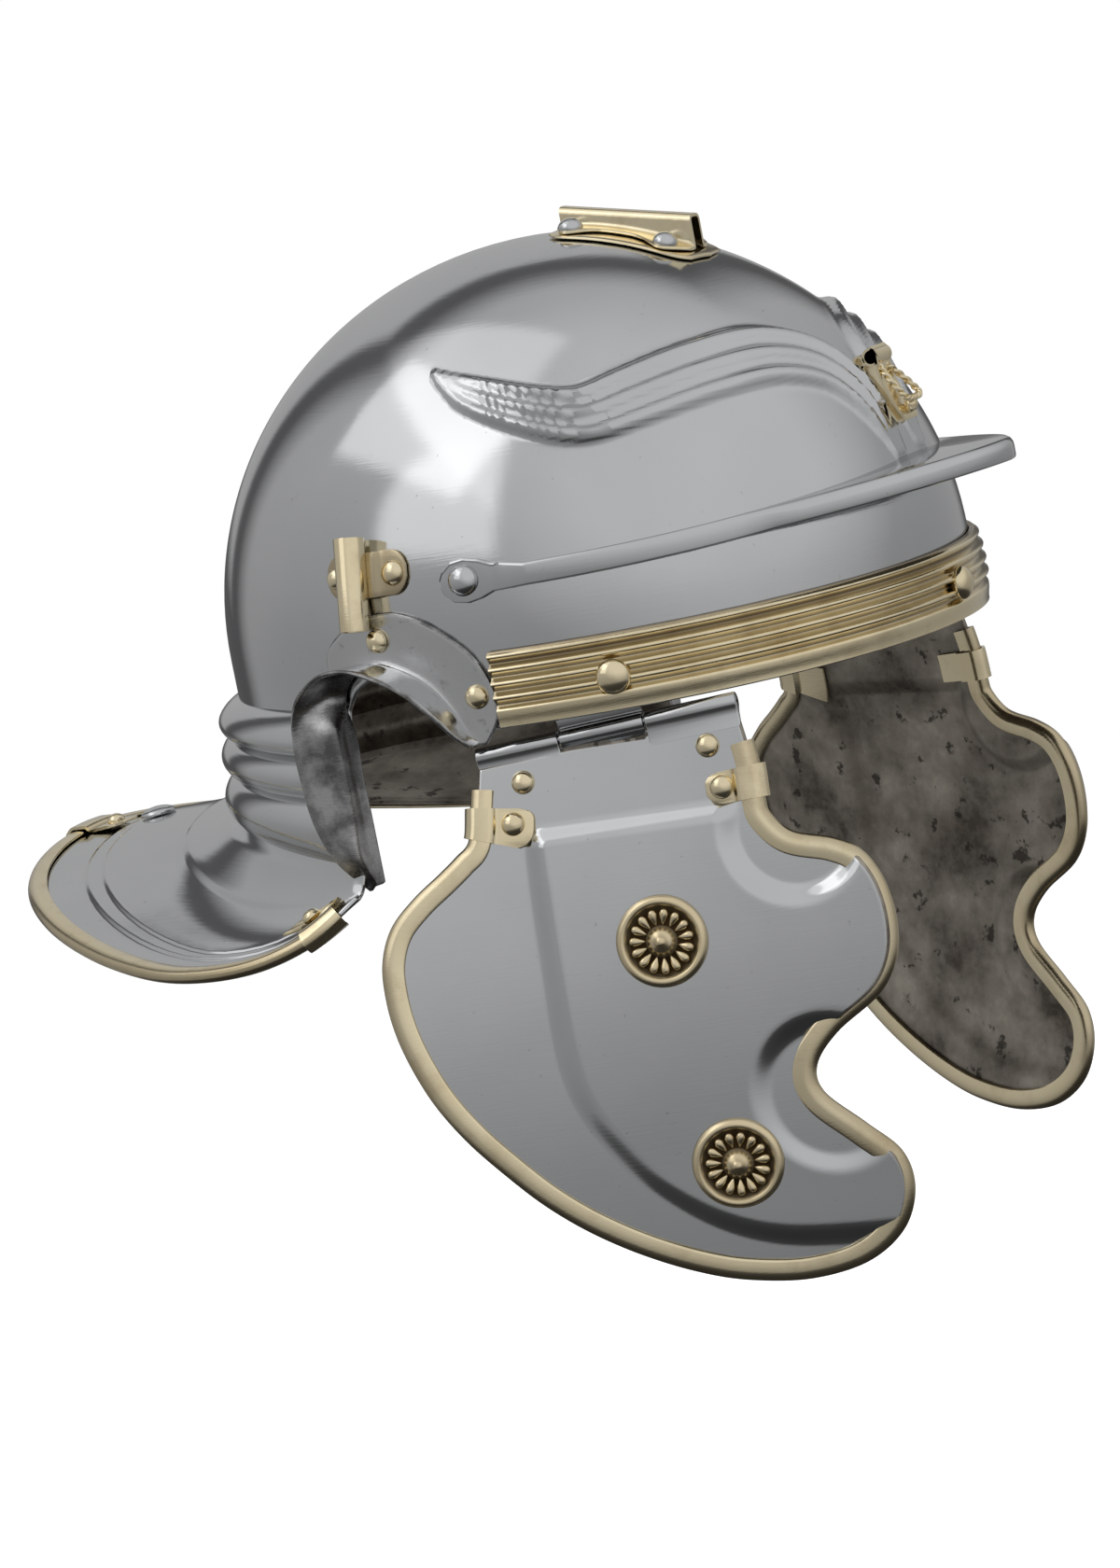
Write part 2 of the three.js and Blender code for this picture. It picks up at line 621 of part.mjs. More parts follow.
function placedPipe(from, axis, length, outer, inner, sides = 10) {
  const outline = [[inner, 0], [outer, 0], [outer, length], [inner, length], [inner, 0]];
  const pipe = new THREE.LatheGeometry(outline.map(([x, y]) => new THREE.Vector2(x, y)), sides);
  pipe.applyQuaternion(new THREE.Quaternion().setFromUnitVectors(vec(0, 1, 0), axis));
  return facingOut(tidy(pipe.translate(from.x, from.y, from.z)));
}

// Brass folded over a sheet's edge: the section runs from the sheet's edge inwards
function foldedSection(depth, face, nose, gap) {
  return [[-depth, face], [0.4, nose], [nose, 0], [0.4, -nose], [-depth, -face],
    [-depth, -gap], [gap - 0.4, -gap], [gap - 0.4, gap], [-depth, gap]];
}

const SHEET_GAP = STEEL / 2 + CLEAR;

function guardFrames(angles) {
  return angles.map((angle) => {
    const edge = guardPoint(angle, { share: 1, step: 0 });
    const inner = guardPoint(angle, GUARD_ROWS.at(-2));
    const along = guardCurve.getTangent((angle - LEG_ANGLE) / (360 - 2 * LEG_ANGLE));
    const up = edge.clone().sub(inner).cross(along).normalize();
    const across = along.clone().cross(up).normalize();
    return { origin: edge.addScaledVector(up, -STEEL / 2).addScaledVector(across, CLEAR), across, up };
  });
}

function neckEdging() {
  return sweep(guardFrames(NAPE_ANGLES.slice(1, -1)), foldedSection(3.6, 2, 2.2, SHEET_GAP + 0.2));
}

// The frame the stated share of the way from one frame to the next
function between(from, to, share) {
  const blend = (key) => from[key].clone().lerp(to[key], share);
  return { origin: blend("origin"), across: blend("across").normalize(), up: blend("up").normalize() };
}

// The point so far inward from the neck guard's edge and up from the middle of its sheet: in the
// edging's own plane as far as a clip's fold, and along the curved sheet beyond it
function onGuard(angle, inward, up) {
  const frame = guardFrames([angle])[0];
  if (inward <= CLIP_FOLD) {
    return frame.origin.addScaledVector(frame.across, -inward).addScaledVector(frame.up, up);
  }
  const [root, edge] = [0, 1].map((share) => guardPoint(angle, { share, step: 0 }));
  const width = root.distanceTo(edge);
  const point = guardPoint(angle, { share: 1 - inward / width, step: 0 });
  return point.addScaledVector(frame.up, up - STEEL / 2);
}

// A strap folded over the neck guard's edge; lean turns its tab by degrees of plan a millimetre
function neckClip({ angles, tab, lean }) {
  const low = SHEET_GAP + BRASS;
  const high = 2.2 + CLEAR + BRASS;
  const section = [[-tab, low + CLIP_LIFT], [-CLIP_FOLD, low], [-4.2, high], [1, high], [high + 0.4, 0],
    [1, -high], [-5, -high], [-5, -high + BRASS], [0.6, -high + BRASS], [high - 0.5, 0], [0.6, high - BRASS],
    [-3.9, high - BRASS], [-4.6, SHEET_GAP], [-tab, SHEET_GAP + CLIP_LIFT]];
  return loft(angles.map((angle) => section.map(([out, up]) =>
    onGuard(angle + lean * Math.max(0, -out - CLIP_FOLD), -out, up))));
}

// Front hook: a brass strip folded on itself, with a rolled eye at each end. Its line is drawn
// in the plane of symmetry from the rear eye down to the fold and up to the front eye.
const HOOK = { halfWidth: 4.5, sheet: 0.8, rearEye: [100.7, 74.6, 1.4], frontEye: [104.4, 75.6, 2.2] };

function frontHook() {
  const eyePoints = ([x, z, radius], from, to) => steps(from, to, 7).map((degrees) => {
    const turn = radians(degrees);
    return [x + radius * Math.cos(turn), z + radius * Math.sin(turn)];
  });
  const line = [...eyePoints(HOOK.rearEye, -40, 250), [104.4, 67.6], [108.6, 58.8], [109.6, 57.4],
    [111, 58.2], [106.6, 67], ...eyePoints(HOOK.frontEye, 300, -10)];
  const flat = new THREE.SplineCurve(line.map(([x, z]) => new THREE.Vector2(x, z)));
  const stations = steps(0, 1, 28);
  const side = (sign) => stations.map((at) => {
    const point = flat.getPoint(at);
    const ahead = flat.getTangent(at);
    return vec(point.x - (ahead.y * sign * HOOK.sheet) / 2, 0, point.y + (ahead.x * sign * HOOK.sheet) / 2);
  });
  const outline = [...side(1), ...side(-1).reverse()];
  return loft([-HOOK.halfWidth, HOOK.halfWidth].map((y) => outline.map((point) => point.clone().setY(y))));
}

// Cheek pieces are drawn in the hinge's own frame: X along the pin to the front, Y out, Z up
function bow(u, v) {
  const deep = CHEEK_BOW.twistDepth * (1 - Math.exp(-v / CHEEK_BOW.twistDepth));
  return -CHEEK_BOW.curl * v * v - CHEEK_BOW.twist * u * deep;
}

function smooth(value, from, to) {
  return THREE.MathUtils.smoothstep(value, from, to);
}

function panelHeight(u, v) {
  const [[upperU, upperV, upperR], [lowerU, lowerV, lowerR]] = [PANEL.upper, PANEL.lower];
  const pastRear = smooth(u - lookUp(PANEL_EDGE, "v", "u", v), -1.3, 1.3);
  const pastTop = smooth(v, PANEL.topV - 1.5, PANEL.topV + 1.5);
  const pastUpper = smooth(Math.hypot(u - upperU, v - upperV), upperR - 1.5, upperR + 1.5);
  const pastLower = smooth(Math.hypot(u - lowerU, v - lowerV), lowerR - 1.5, lowerR + 1.5);
  return PANEL.height * pastRear * pastTop * pastUpper * pastLower;
}

// The point of the plate's middle surface at u, v, with the raised panel and a distance out
function cheekPoint(u, v, out = 0, raised = true) {
  const tilt = radians(HINGE.tilt);
  const y = bow(u, v) + out + (raised ? panelHeight(u, v) : 0);
  return vec(u * Math.cos(tilt) - v * Math.sin(tilt), y, -v * Math.cos(tilt) - u * Math.sin(tilt));
}

function cheekNormal(u, v) {
  const along = cheekPoint(u + 1, v, 0, false).sub(cheekPoint(u - 1, v, 0, false));
  const down = cheekPoint(u, v + 1, 0, false).sub(cheekPoint(u, v - 1, 0, false));
  return along.cross(down).normalize();
}

// The outline as points of u and v from the rear top corner round to the front top corner
function cheekOutline() {
  const rear = CHEEK_ROWS.map(({ rearU, rearV }) => new THREE.Vector2(rearU, rearV));
  const upwards = CHEEK_ROWS.slice(0, -1).toReversed();
  const front = upwards.map(({ frontU, frontV }) => new THREE.Vector2(frontU, frontV));
  return new THREE.SplineCurve([...rear, ...front]);
}

const OUTLINE = cheekOutline();

function outlineAt(at, inset) {
  const point = OUTLINE.getPoint(at);
  const tangent = OUTLINE.getTangent(at);
  return { u: point.x + tangent.y * inset, v: point.y - tangent.x * inset, tangent };
}

function cheekPlate() {
  const last = CHEEK_ROWS.length - 1;
  const face = patch(steps(0, 10, 10), steps(0, last, last), (column, row) => {
    const rear = outlineAt(row / (2 * last), EDGING.nose);
    const front = outlineAt(1 - row / (2 * last), EDGING.nose);
    if (row === last) return cheekPoint(rear.u, rear.v);
    const flat = (EDGING.width + 1) / Math.max(0.4, Math.abs(front.tangent.y));
    const border = Math.max(rear.u + 7, lookUp(PANEL_EDGE, "v", "u", rear.v));
    const ridge = Math.min(border, front.u - flat - 8);
    const us = [rear.u, (rear.u + ridge) / 2, ridge - 1.3, ...steps(ridge + 1.3, front.u - flat - 2, 5),
      front.u - flat, front.u];
    const share = (us[column] - rear.u) / (front.u - rear.u);
    const v = THREE.MathUtils.lerp(rear.v, front.v, share);
    return cheekPoint(us[column], v, 0, column < 9);
  });
  return sheet([face], -STEEL / 2, STEEL / 2);
}

// The two rolls of a cheek piece and the one of the bowl's leaf between them
const KNUCKLES = { rear: [-33, -9.6], middle: [-9.1, 14.5], front: [15, 40.5] };

function knuckle([from, to], tail) {
  const shape = new THREE.Shape();
  shape.absarc(0, 0, HINGE.roll, radians(-60), radians(240), false);
  shape.lineTo(-STEEL / 2, -tail);
  shape.lineTo(STEEL / 2, -tail);
  shape.closePath();
  shape.holes.push(new THREE.Path().absarc(0, 0, HINGE.bore, 0, 2 * Math.PI, true));
  const roll = new THREE.ExtrudeGeometry(shape, { depth: to - from, bevelEnabled: false, curveSegments: 4 });
  roll.applyMatrix4(new THREE.Matrix4().makeBasis(vec(0, 1, 0), vec(0, 0, 1), vec(1, 0, 0)));
  return facingOut(tidy(roll.translate(from, 0, 0)));
}

function cheek() {
  const tail = HINGE.roll + 4;
  return joined(cheekPlate(), knuckle(KNUCKLES.rear, tail), knuckle(KNUCKLES.front, tail));
}

function cheekFrames(stations) {
  return stations.map((station) => {
    const at = station / (2 * CHEEK_ROWS.length - 2);
    const { u, v, tangent } = outlineAt(at, EDGING.nose - CLEAR);
    const origin = cheekPoint(u, v, 0, false);
    const up = cheekNormal(u, v);
    const ahead = cheekPoint(u + tangent.x, v + tangent.y, 0, false).sub(origin).normalize();
    return { origin, across: up.clone().cross(ahead).normalize(), up };
  });
}

function cheekEdging() {
  const last = 2 * CHEEK_ROWS.length - 2;
  const stations = [0.6, ...steps(1, last - 1, last - 2), last - 0.6];
  return sweep(cheekFrames(stations), foldedSection(EDGING.width, EDGING.face, EDGING.nose, SHEET_GAP));
}

function cheekClip(frames, tab) {
  const low = SHEET_GAP + BRASS;
  const high = EDGING.nose + CLEAR + BRASS;
  const half = [[-tab, SHEET_GAP], [-tab, low], [-5, low], [-4.4, high], [1, high]];
  const inner = [[-4.1, high - BRASS], [-4.7, SHEET_GAP]];
  const section = [...half, [high + 0.4, 0], ...half.toReversed().map(([a, b]) => [a, -b]),
    ...inner.toReversed().map(([a, b]) => [a, -b]), [0.7, -high + BRASS], [high - 0.5, 0],
    [0.7, high - BRASS], ...inner];
  return sweep(frames, section);
}

function rosette() {
  const petals = 10;
  const rings = [
    { radius: 12.3, low: 0.2, high: 0.2 },
    { radius: 11.5, low: 1.7, high: 1.7 },
    { radius: 9.8, low: 0.8, high: 0.8 },
    { radius: 8, low: 0.8, high: 1.9 },
    { radius: 4.2, low: 1, high: 1.4 },
    { radius: 2.6, low: 3, high: 3 },
    { radius: 0, low: 3.8, high: 3.8 },
  ];
  const around = steps(0, petals * 2, petals * 2);
  const at = (index, radius, z) => vec(radius * Math.cos((index * Math.PI) / petals),
    radius * Math.sin((index * Math.PI) / petals), z);
  const top = patch(around, rings, (i, ring) => at(i, ring.radius, i % 2 ? ring.high : ring.low));
  const back = patch(around, [0, 12.3], (i, radius) => at(i, radius, radius ? 0.2 : -0.4));
  return facingOut(tidy(mergeGeometries([top, back])));
}

function addSide(name, side) {
  const mirror = side > 0 ? (geometry) => geometry : mirrored;
  const hinge = new THREE.Group();
  hinge.position.set(HINGE.x, side * HINGE.y, HINGE.z);
  hinge.rotation.set(0, radians(-HINGE.tilt), radians(-side * HINGE.toeIn), "ZYX");
  helmet.add(hinge);
  const [pinFrom, pinTo] = [KNUCKLES.rear[0], KNUCKLES.front[1]];
  const axle = placedRod(vec(pinFrom, 0, 0), vec(1, 0, 0), pinTo - pinFrom, HINGE.pin, 8);
  add(hinge, `hinge_pin_${name}`, mirror(axle), steel);
  add(hinge, `hinge_leaf_${name}`, mirror(hingeLeaf()), steel);
  const piece = new THREE.Group();
  piece.rotation.x = side * radians(SWING[name]);
  hinge.add(piece);
  add(piece, `cheek_${name}`, mirror(cheek()), steel);
  add(piece, `cheek_edging_${name}`, mirror(cheekEdging()), brass);
  for (const { label, from, to, tab, rivet } of CHEEK_CLIPS) {
    const ends = cheekFrames([from, to]);
    const frames = [between(...ends, 0.06), between(...ends, 0.94)];
    const { origin, across, up } = between(...ends, 0.5);
    add(piece, `cheek_clip_${label}_${name}`, mirror(cheekClip(frames, tab)), brass);
    const point = origin.clone().addScaledVector(across, -rivet).addScaledVector(up, SHEET_GAP + BRASS);
    const flip = vec(1, side, 1);
    addRivet(piece, `clip_rivet_${label}_${name}`, point.multiply(flip), up.multiply(flip), 3.4, 2.8, brass);
  }
  const heads = [
    { label: "leaf_rivet_rear", u: -20.7, v: 10.7, out: STEEL / 2, radius: 3.4 },
    { label: "leaf_rivet_front", u: 31, v: 8.3, out: STEEL / 2, radius: 3.4 },
  ];
  for (const { label, u, v, out, radius } of heads) {
    const normal = cheekNormal(u, v);
    const point = cheekPoint(u, v).addScaledVector(normal, out);
    const flip = vec(1, side, 1);
    addRivet(piece, `${label}_${name}`, point.multiply(flip), normal.multiply(flip), radius, 2.8, brass);
  }
  ROSETTES.forEach(([u, v], i) => {
    const flip = vec(1, side, 1);
    const normal = cheekNormal(u, v);
    const point = cheekPoint(u, v).addScaledVector(normal, STEEL / 2 + 0.9).multiply(flip);
    const mesh = add(piece, `rosette_${i ? "lower" : "upper"}_${name}`, rosette(), brass);
    mesh.position.copy(point);
    mesh.quaternion.setFromUnitVectors(vec(0, 0, 1), normal.multiply(flip));
  });
}

const CHEEK_CLIPS = [
  { label: "rear", from: 1, to: 2, tab: 15, rivet: 9.8 },
  { label: "front", from: 36, to: 37, tab: 12.3, rivet: 8.6 },
];

// The bowl's leaf: a roll on the pin and a tongue that rises inside the bowl
function hingeLeaf() {
  const [from, to] = KNUCKLES.middle;
  const roll = knuckle(KNUCKLES.middle, HINGE.roll);
  const rise = [[-1.3, 0.8], [-0.3, 3], [0.4, 8], [0.4, 18]];
  const outline = [...rise, ...rise.toReversed().map(([y, z]) => [y - 1.2, z])];
  const tongue = loft([from, to].map((x) => outline.map(([y, z]) => vec(x, y, z))));
  const bore = placedRod(vec(from - 1, 0, 0), vec(1, 0, 0), to - from + 2, HINGE.bore, 10);
  return cut(joined(roll, tongue), bore);
}

// Assembly
add(helmet, "bowl", bowl(), steel);
add(helmet, "brow_band", browBand(), brass);
add(helmet, "peak", peak(), steel);
addPair("ear_guard", earGuard(), steel);
addPair("plume_tube", plumeTube(), brass);
add(helmet, "neck_edging", neckEdging(), brass);
add(helmet, "crest_plate", crestPlate(), brass);
add(helmet, "crest_holder", crestHolder(), brass);
add(helmet, "front_hook", frontHook(), brass);

for (const [name, side] of [["left", 1], ["right", -1]]) {
  addSide(name, side);
  const onWall = (label, x, z, out, radius, height, finish) => {
    const point = wallAt(x, z, out);
    const normal = bowlNormal(point);
    const flip = vec(1, side, 1);
    addRivet(helmet, `${label}_${name}`, point.multiply(flip), normal.multiply(flip), radius, height, finish);
  };
  onWall("peak_rivet", 16.5, PEAK.z - 2.4, CLEAR + THIN_STEEL, 4.4, 3, steel);
  onWall("ear_rivet_top", -12.6, 27.2, CLEAR + THIN_STEEL, 3.4, 2.8, brass);
  onWall("ear_rivet_front", 15, 9, CLEAR + THIN_STEEL, 3.6, 2.8, brass);
  onWall("band_rivet", 51.8, 9, 3.7, 5, 3, brass);
  onWall("tube_rivet_rear", TUBE.x - 8.6, TUBE.z + TUBE.strapUp, CLEAR + BRASS + 0.2, 3.2, 2.4, brass);
  onWall("tube_rivet_front", TUBE.x + 11, TUBE.z + TUBE.strapUp, CLEAR + BRASS + 0.2, 3.6, 2.6, brass);
  for (const [share, end] of [[-0.78, "rear"], [0.78, "front"]]) {
    const point = crestRivetPoint(share, side);
    addRivet(helmet, `crest_rivet_${end}_${name}`, point, bowlNormal(point), 3.9, 2.8, steel);
  }
}

for (const clip of NECK_CLIPS) {
  add(helmet, `neck_clip_${clip.name}`, neckClip(clip), brass);
  const middle = (clip.angles[0] + clip.angles[2]) / 2;
  const fold = onGuard(middle, CLIP_FOLD, SHEET_GAP + BRASS);
  const end = onGuard(middle + clip.lean * (clip.tab - CLIP_FOLD), clip.tab, SHEET_GAP + BRASS + CLIP_LIFT);
  const point = fold.lerp(end, (clip.rivet - CLIP_FOLD) / (clip.tab - CLIP_FOLD));
  const { up } = guardFrames([middle])[0];
  addRivet(helmet, `neck_rivet_${clip.name}`, point.addScaledVector(up, 0.6), up, 2.8, 2.4, brass);
}
const [studInner, studOuter] = GUARD_ROWS.slice(1, 3).map((row) => guardPoint(180, row));
const studUp = vec(0, 1, 0).cross(studOuter.clone().sub(studInner)).normalize();
addRivet(helmet, "neck_stud", studInner.lerp(studOuter, 0.78), studUp, 5.4, 2, steel);
addRivet(helmet, "band_rivet_front", wall(0, 10, 3.7), vec(1, 0, 0), 5.2, 3, brass);

export default helmet;
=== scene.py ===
"""Looks of a Roman legionary helmet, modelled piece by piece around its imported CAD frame.

Tables hold millimetres in the frame of the part: +X to the front, +Y to the wearer's left,
+Z up, origin at the centre of the head opening. piece() turns them into metres.
"""
import math
from types import SimpleNamespace as Sizes

import bmesh
import bpy
import numpy as np
from mathutils import Matrix, Vector


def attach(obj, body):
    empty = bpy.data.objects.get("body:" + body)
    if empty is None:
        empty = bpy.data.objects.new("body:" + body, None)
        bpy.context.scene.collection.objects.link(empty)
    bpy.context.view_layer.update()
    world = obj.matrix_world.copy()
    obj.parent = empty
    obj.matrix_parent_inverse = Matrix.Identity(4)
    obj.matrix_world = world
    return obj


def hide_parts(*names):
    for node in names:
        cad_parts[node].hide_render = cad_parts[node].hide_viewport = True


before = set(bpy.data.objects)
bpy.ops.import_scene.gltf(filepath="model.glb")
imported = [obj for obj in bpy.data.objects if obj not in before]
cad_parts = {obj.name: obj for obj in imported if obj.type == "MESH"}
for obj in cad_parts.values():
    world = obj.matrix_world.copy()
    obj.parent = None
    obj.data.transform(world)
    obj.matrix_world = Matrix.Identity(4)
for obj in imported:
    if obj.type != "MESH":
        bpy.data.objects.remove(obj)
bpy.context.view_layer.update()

MM = 0.001
CLEAR = 0.3
STEEL = 1.6
THIN_STEEL = 1.3
BRASS = 0.9

BOWL = Sizes(centre_x=3, half_length=111, half_width=96, widest=20, dome=104)
BAND = Sizes(end_angle=81, height=20.5, groove_floor=1.7, groove_depth=0.75)
PEAK = Sizes(z=42.9, rise=5, lip=5.4, centre_x=27.5, reach=111.3, half_width=90.8, fullness=1.41,
             sweep=86, narrowest=2.2, end_angle=73.5, bend=2.2)
HINGE = Sizes(x=41.8, y=85.5, z=-6, toe_in=16, tilt=3.5, roll=2.5, pin=1.1)
SWING = {"right": 17, "left": 11}
CHEEK_BOW = Sizes(curl=0.0013, twist=0.002, depth=80)
PANEL = Sizes(height=2.9, top=26, upper=(51, 33, 18), lower=(49, 103, 19), step=6.4)
EDGING = Sizes(width=3.7, nose=2.3, wall=0.8)
ROSETTES = {"upper": (11.6, 58.2), "lower": (20.9, 118.5)}
# Each foot of the crest holder: its place and width as shares of half the length, its waist
CREST_FOOT = Sizes(rear=-0.74, rear_width=0.24, front=0.66, front_width=0.27, waist=0.42, end=0.72,
                   tip=0.25)
CREST = Sizes(x=36.6, lean=11.5, length=40.4, top=126.6, slot=4.4, flange=8.5, plate_half=12)
TUBE = Sizes(x=-16, z=31, length=25.5, radius=4.1, bore=3.3, flare=0.05, strap_up=14, strap_half=5.7)
LEG_ANGLE = 107
LEG_X = -28
NAPE_TOP = 9
NAPE_FOOT = -24.5
CLIP_FOLD = 4.8
CLIP_LIFT = 0.7
# Plan angle of each clip on the neck guard and half the angle it covers, its tab's length, its
# rivet's distance from the edge, and how much its tab leans along the edge in degrees a millimetre
NECK_CLIPS = {
    "left": Sizes(middle=112.8, half=2.4, tab=9.6, rivet=7, lean=1.3),
    "right": Sizes(middle=247.2, half=2.4, tab=9.6, rivet=7, lean=-1.3),
    "rear": Sizes(middle=180, half=3, tab=15.5, rivet=10.6, lean=0),
}
# Stations along the outline that each cheek clip covers, its tab's length and its rivet's place
CHEEK_CLIPS = {
    "rear": (1.08, 1.92, 15.5, 10.2),
    "front": (36.08, 36.92, 12.8, 8.8),
}


def columns(names, rows):
    """A table's rows as one array for each named column"""
    return Sizes(**dict(zip(names.split(), np.array(rows, float).T)))


EAR_OPENING = columns("angle z", [
    (86, 0), (88.5, 7), (92, 13.5), (96, 17.5), (100.5, 18), (104.5, 14.5), (107, 9),
])
# The rolls of the nape: heights of their two creases, how far out the creases lie and how far
# the roll swells between them
ROLLS = columns("top foot top_out foot_out swell", [
    (9, -1, 0, 3.8, 5.2),
    (-1, -12, 3.8, 5, 4),
    (-12, -24.5, 5, 6.2, 4.2),
])
# How much lower each height of the nape lies at the ear openings
NAPE_SAG = columns("z sag", [(-24.5, 10), (-19, 6.2), (-12, 4.2), (-4.4, 3.5), (5, 3), (9, 0)])
GUARD_EDGE = [
    (-34, 100.5, -42), (-47, 109, -50.8), (-66, 112.8, -56), (-92, 110, -57), (-119.3, 99.3, -53.6),
    (-146, 83.2, -47.8), (-166.6, 64.4, -42), (-180.2, 43.8, -37.8), (-187.9, 21.5, -34.8),
    (-189.8, 0, -33.5),
]
# Embossed steps of the neck guard: share of its width, least distance from the edge, height
GUARD_STEPS = columns("share inset step", [
    (0, 0, 0), (0.08, 0, 1.6), (0.27, 0, 2.2), (0.31, 0, 1.3), (0.67, 15, 1.7), (0.7, 14, 1),
    (0.75, 12.5, 0.9), (0.785, 11.5, 0), (1, 0, 0),
])
EYEBROW = columns("x y z half", [
    (4, 67, 94, 1), (18, 72, 87, 5.5), (35, 73, 81, 7.5), (48, 69, 77, 9), (60, 60, 79, 10),
    (74, 45, 82, 10.5), (85, 28, 82, 10.5), (94, 15, 76, 9.5), (102, 9, 65, 7), (109, 7, 50, 3),
])
EYEBROW_RELIEF = Sizes(height=2.1, ridge=0.85, ridges=3)
BAND_SECTION = columns("z out", [
    (20.5, 1.8), (19.2, 3), (17.4, 1.7), (15.6, 3.6), (13.7, 2), (11.8, 3.8), (9.9, 2), (8, 3.8),
    (6, 2), (4.4, 3.2), (0, 2.6),
])
EAR_GUARD = columns("edge_x edge_z root_x root_z rim_x rim_z out", [
    (15, -3.6, 12.8, -3.8, 10.5, -4, 2),
    (19.5, 3, 10, 0, 8.5, -1, 6),
    (19, 12, 7.5, 6, 5.5, 4.5, 9),
    (14.5, 21, 3, 12.5, 0, 12.5, 12),
    (5, 29, -4, 17.5, -7, 18, 14),
    (-5, 33.5, -12, 20.5, -14.5, 21, 14.5),
    (-15, 33.5, -18.5, 20.5, -22.5, 20.5, 14.5),
    (-25, 30, -24, 18, -30, 16.5, 14),
    (-32, 22, -28, 13, -35, 10.5, 13.5),
])
EAR_LEG = columns("z rim_x rim_z out", [
    (4, -38, 2, 13), (-8, -38.5, -8, 12.5), (-20, -37.5, -20.5, 12), (-31, -34.8, -32, 9.6),
    (-40, -29.6, -41.4, 4.6),
])
CHEEK_ROWS = columns("rear_u rear_v front_u front_v", [
    (-34.5, 5.4, 42, 0.8), (-36, 15, 44, 14), (-37.6, 24.4, 44.2, 24.4), (-41.6, 28.2, 45, 28.6),
    (-47, 32.3, 50, 34), (-55, 38, 60.5, 37.3), (-62, 45, 67.5, 41.5), (-65.6, 54, 72, 49.5),
    (-66, 64, 73.6, 60), (-64.6, 74, 72, 70), (-61.5, 84, 66, 79), (-57, 94, 53, 87.6),
    (-50.5, 104, 46, 95.5), (-42.5, 113.5, 46.5, 103), (-33, 123.4, 56, 112.5),
    (-22, 132.2, 64, 121), (-9, 140, 65.4, 131), (5, 146.2, 60.5, 141.3), (18, 149.8, 49.5, 148.6),
    (34, 151.3, 34, 151.3),
])
PANEL_EDGE = columns("v u", [
    (0, -19.5), (30, -19.5), (60, -19.4), (86, -19.2), (100, -16), (112, -9), (122.5, -0.6), (132.6, 13),
    (138.5, 28.5), (140.6, 48), (141.2, 70),
])
KNUCKLES = {"rear": (-33, -9.6), "middle": (-9.1, 14.5), "front": (15, 40.5)}
NOTCH_DEPTH = 4.1
# The twisted tab at each end of the peak
PEAK_TAB = columns("x half", [(24.5, 3.6), (21, 5), (17, 5.8), (13, 5.2), (10.4, 3), (9.6, 1.2)])
PEAK_TAB_DROP = 2.2
# The front hook, in the middle plane: its two rolled eyes and the foot between them
HOOK = Sizes(half_width=4.5, sheet=0.7, rear_eye=(100.7, 74.6, 1.4, 1.6),
             front_eye=(104.4, 75.6, 2.2, 2.2), neck=(102.6, 69.5),
             foot=[(108.2, 58.6), (109.6, 57.2), (111.2, 57.8), (108.8, 62.5), (106.2, 69.5)])
HOOK_RING = [(104, 0, 74.6), (107, -3.2, 71), (112.6, -4.6, 64), (113.4, 0, 62.8), (112.6, 4.6, 64),
             (107, 3.2, 71), (104, 0, 74.6)]
HOOK_STRAND = Sizes(radius=0.55, off=0.5, turns=11)
HOOK_DROP = Sizes(top=(112.9, 0, 62.6), foot=(110.8, 0, 58.8), swell=1.6, neck=0.35)
ROSETTE_SIDES = 56
ROSETTE_DISH = columns("radius height groove", [
    (0, -0.4, 0), (12.3, -0.1, 0), (12.5, 0.3, 0), (12.2, 1.1, 0), (11.4, 1.9, 0), (10.5, 2, 0),
    (9.9, 1.5, 0.3), (9.5, 0.7, 0.9), (8.5, 0.55, 1), (4.4, 0.55, 1), (3.7, 1.2, 0.6),
    (3.3, 2.2, 0.15), (2.5, 3, 0), (1.5, 3.3, 0.3), (1.1, 3.9, 0), (0.5, 4.2, 0), (0, 4.25, 0),
])
# Rivet heads on the bowl's wall: node, x, z, distance out, radius, rise
STEEL_HEADS = [("peak_rivet", 16.5, PEAK.z - 2.4, CLEAR + THIN_STEEL, 4.3, 3)]
BRASS_HEADS = [
    ("ear_rivet_top", -12.6, 27.2, CLEAR + THIN_STEEL, 3.3, 2.6),
    ("ear_rivet_front", 15, 9, CLEAR + THIN_STEEL, 3.4, 2.6),
    ("band_rivet", 51.8, 9, 3.5, 4.8, 3),
    ("tube_rivet_rear", TUBE.x - 8.6, TUBE.z + TUBE.strap_up, CLEAR + BRASS, 3, 2.2),
    ("tube_rivet_front", TUBE.x + 11, TUBE.z + TUBE.strap_up, CLEAR + BRASS, 3.5, 2.4),
]
# The middle of each leaf rivet on a cheek piece
LEAF_RIVETS = {"leaf_rivet_rear": (-20.7, 10.7), "leaf_rivet_front": (31, 8.3)}


# Arithmetic

def unit(vectors):
    return vectors / np.maximum(np.linalg.norm(vectors, axis=-1, keepdims=True), 1e-9)


def smooth(value, start, end):
    share = np.clip((value - start) / (end - start), 0, 1)
    return share * share * (3 - 2 * share)


def spread(*parts):
    """Points x, y, z as one array, each part being a number or an array"""
    return np.stack(np.broadcast_arrays(*parts), -1).astype(float)


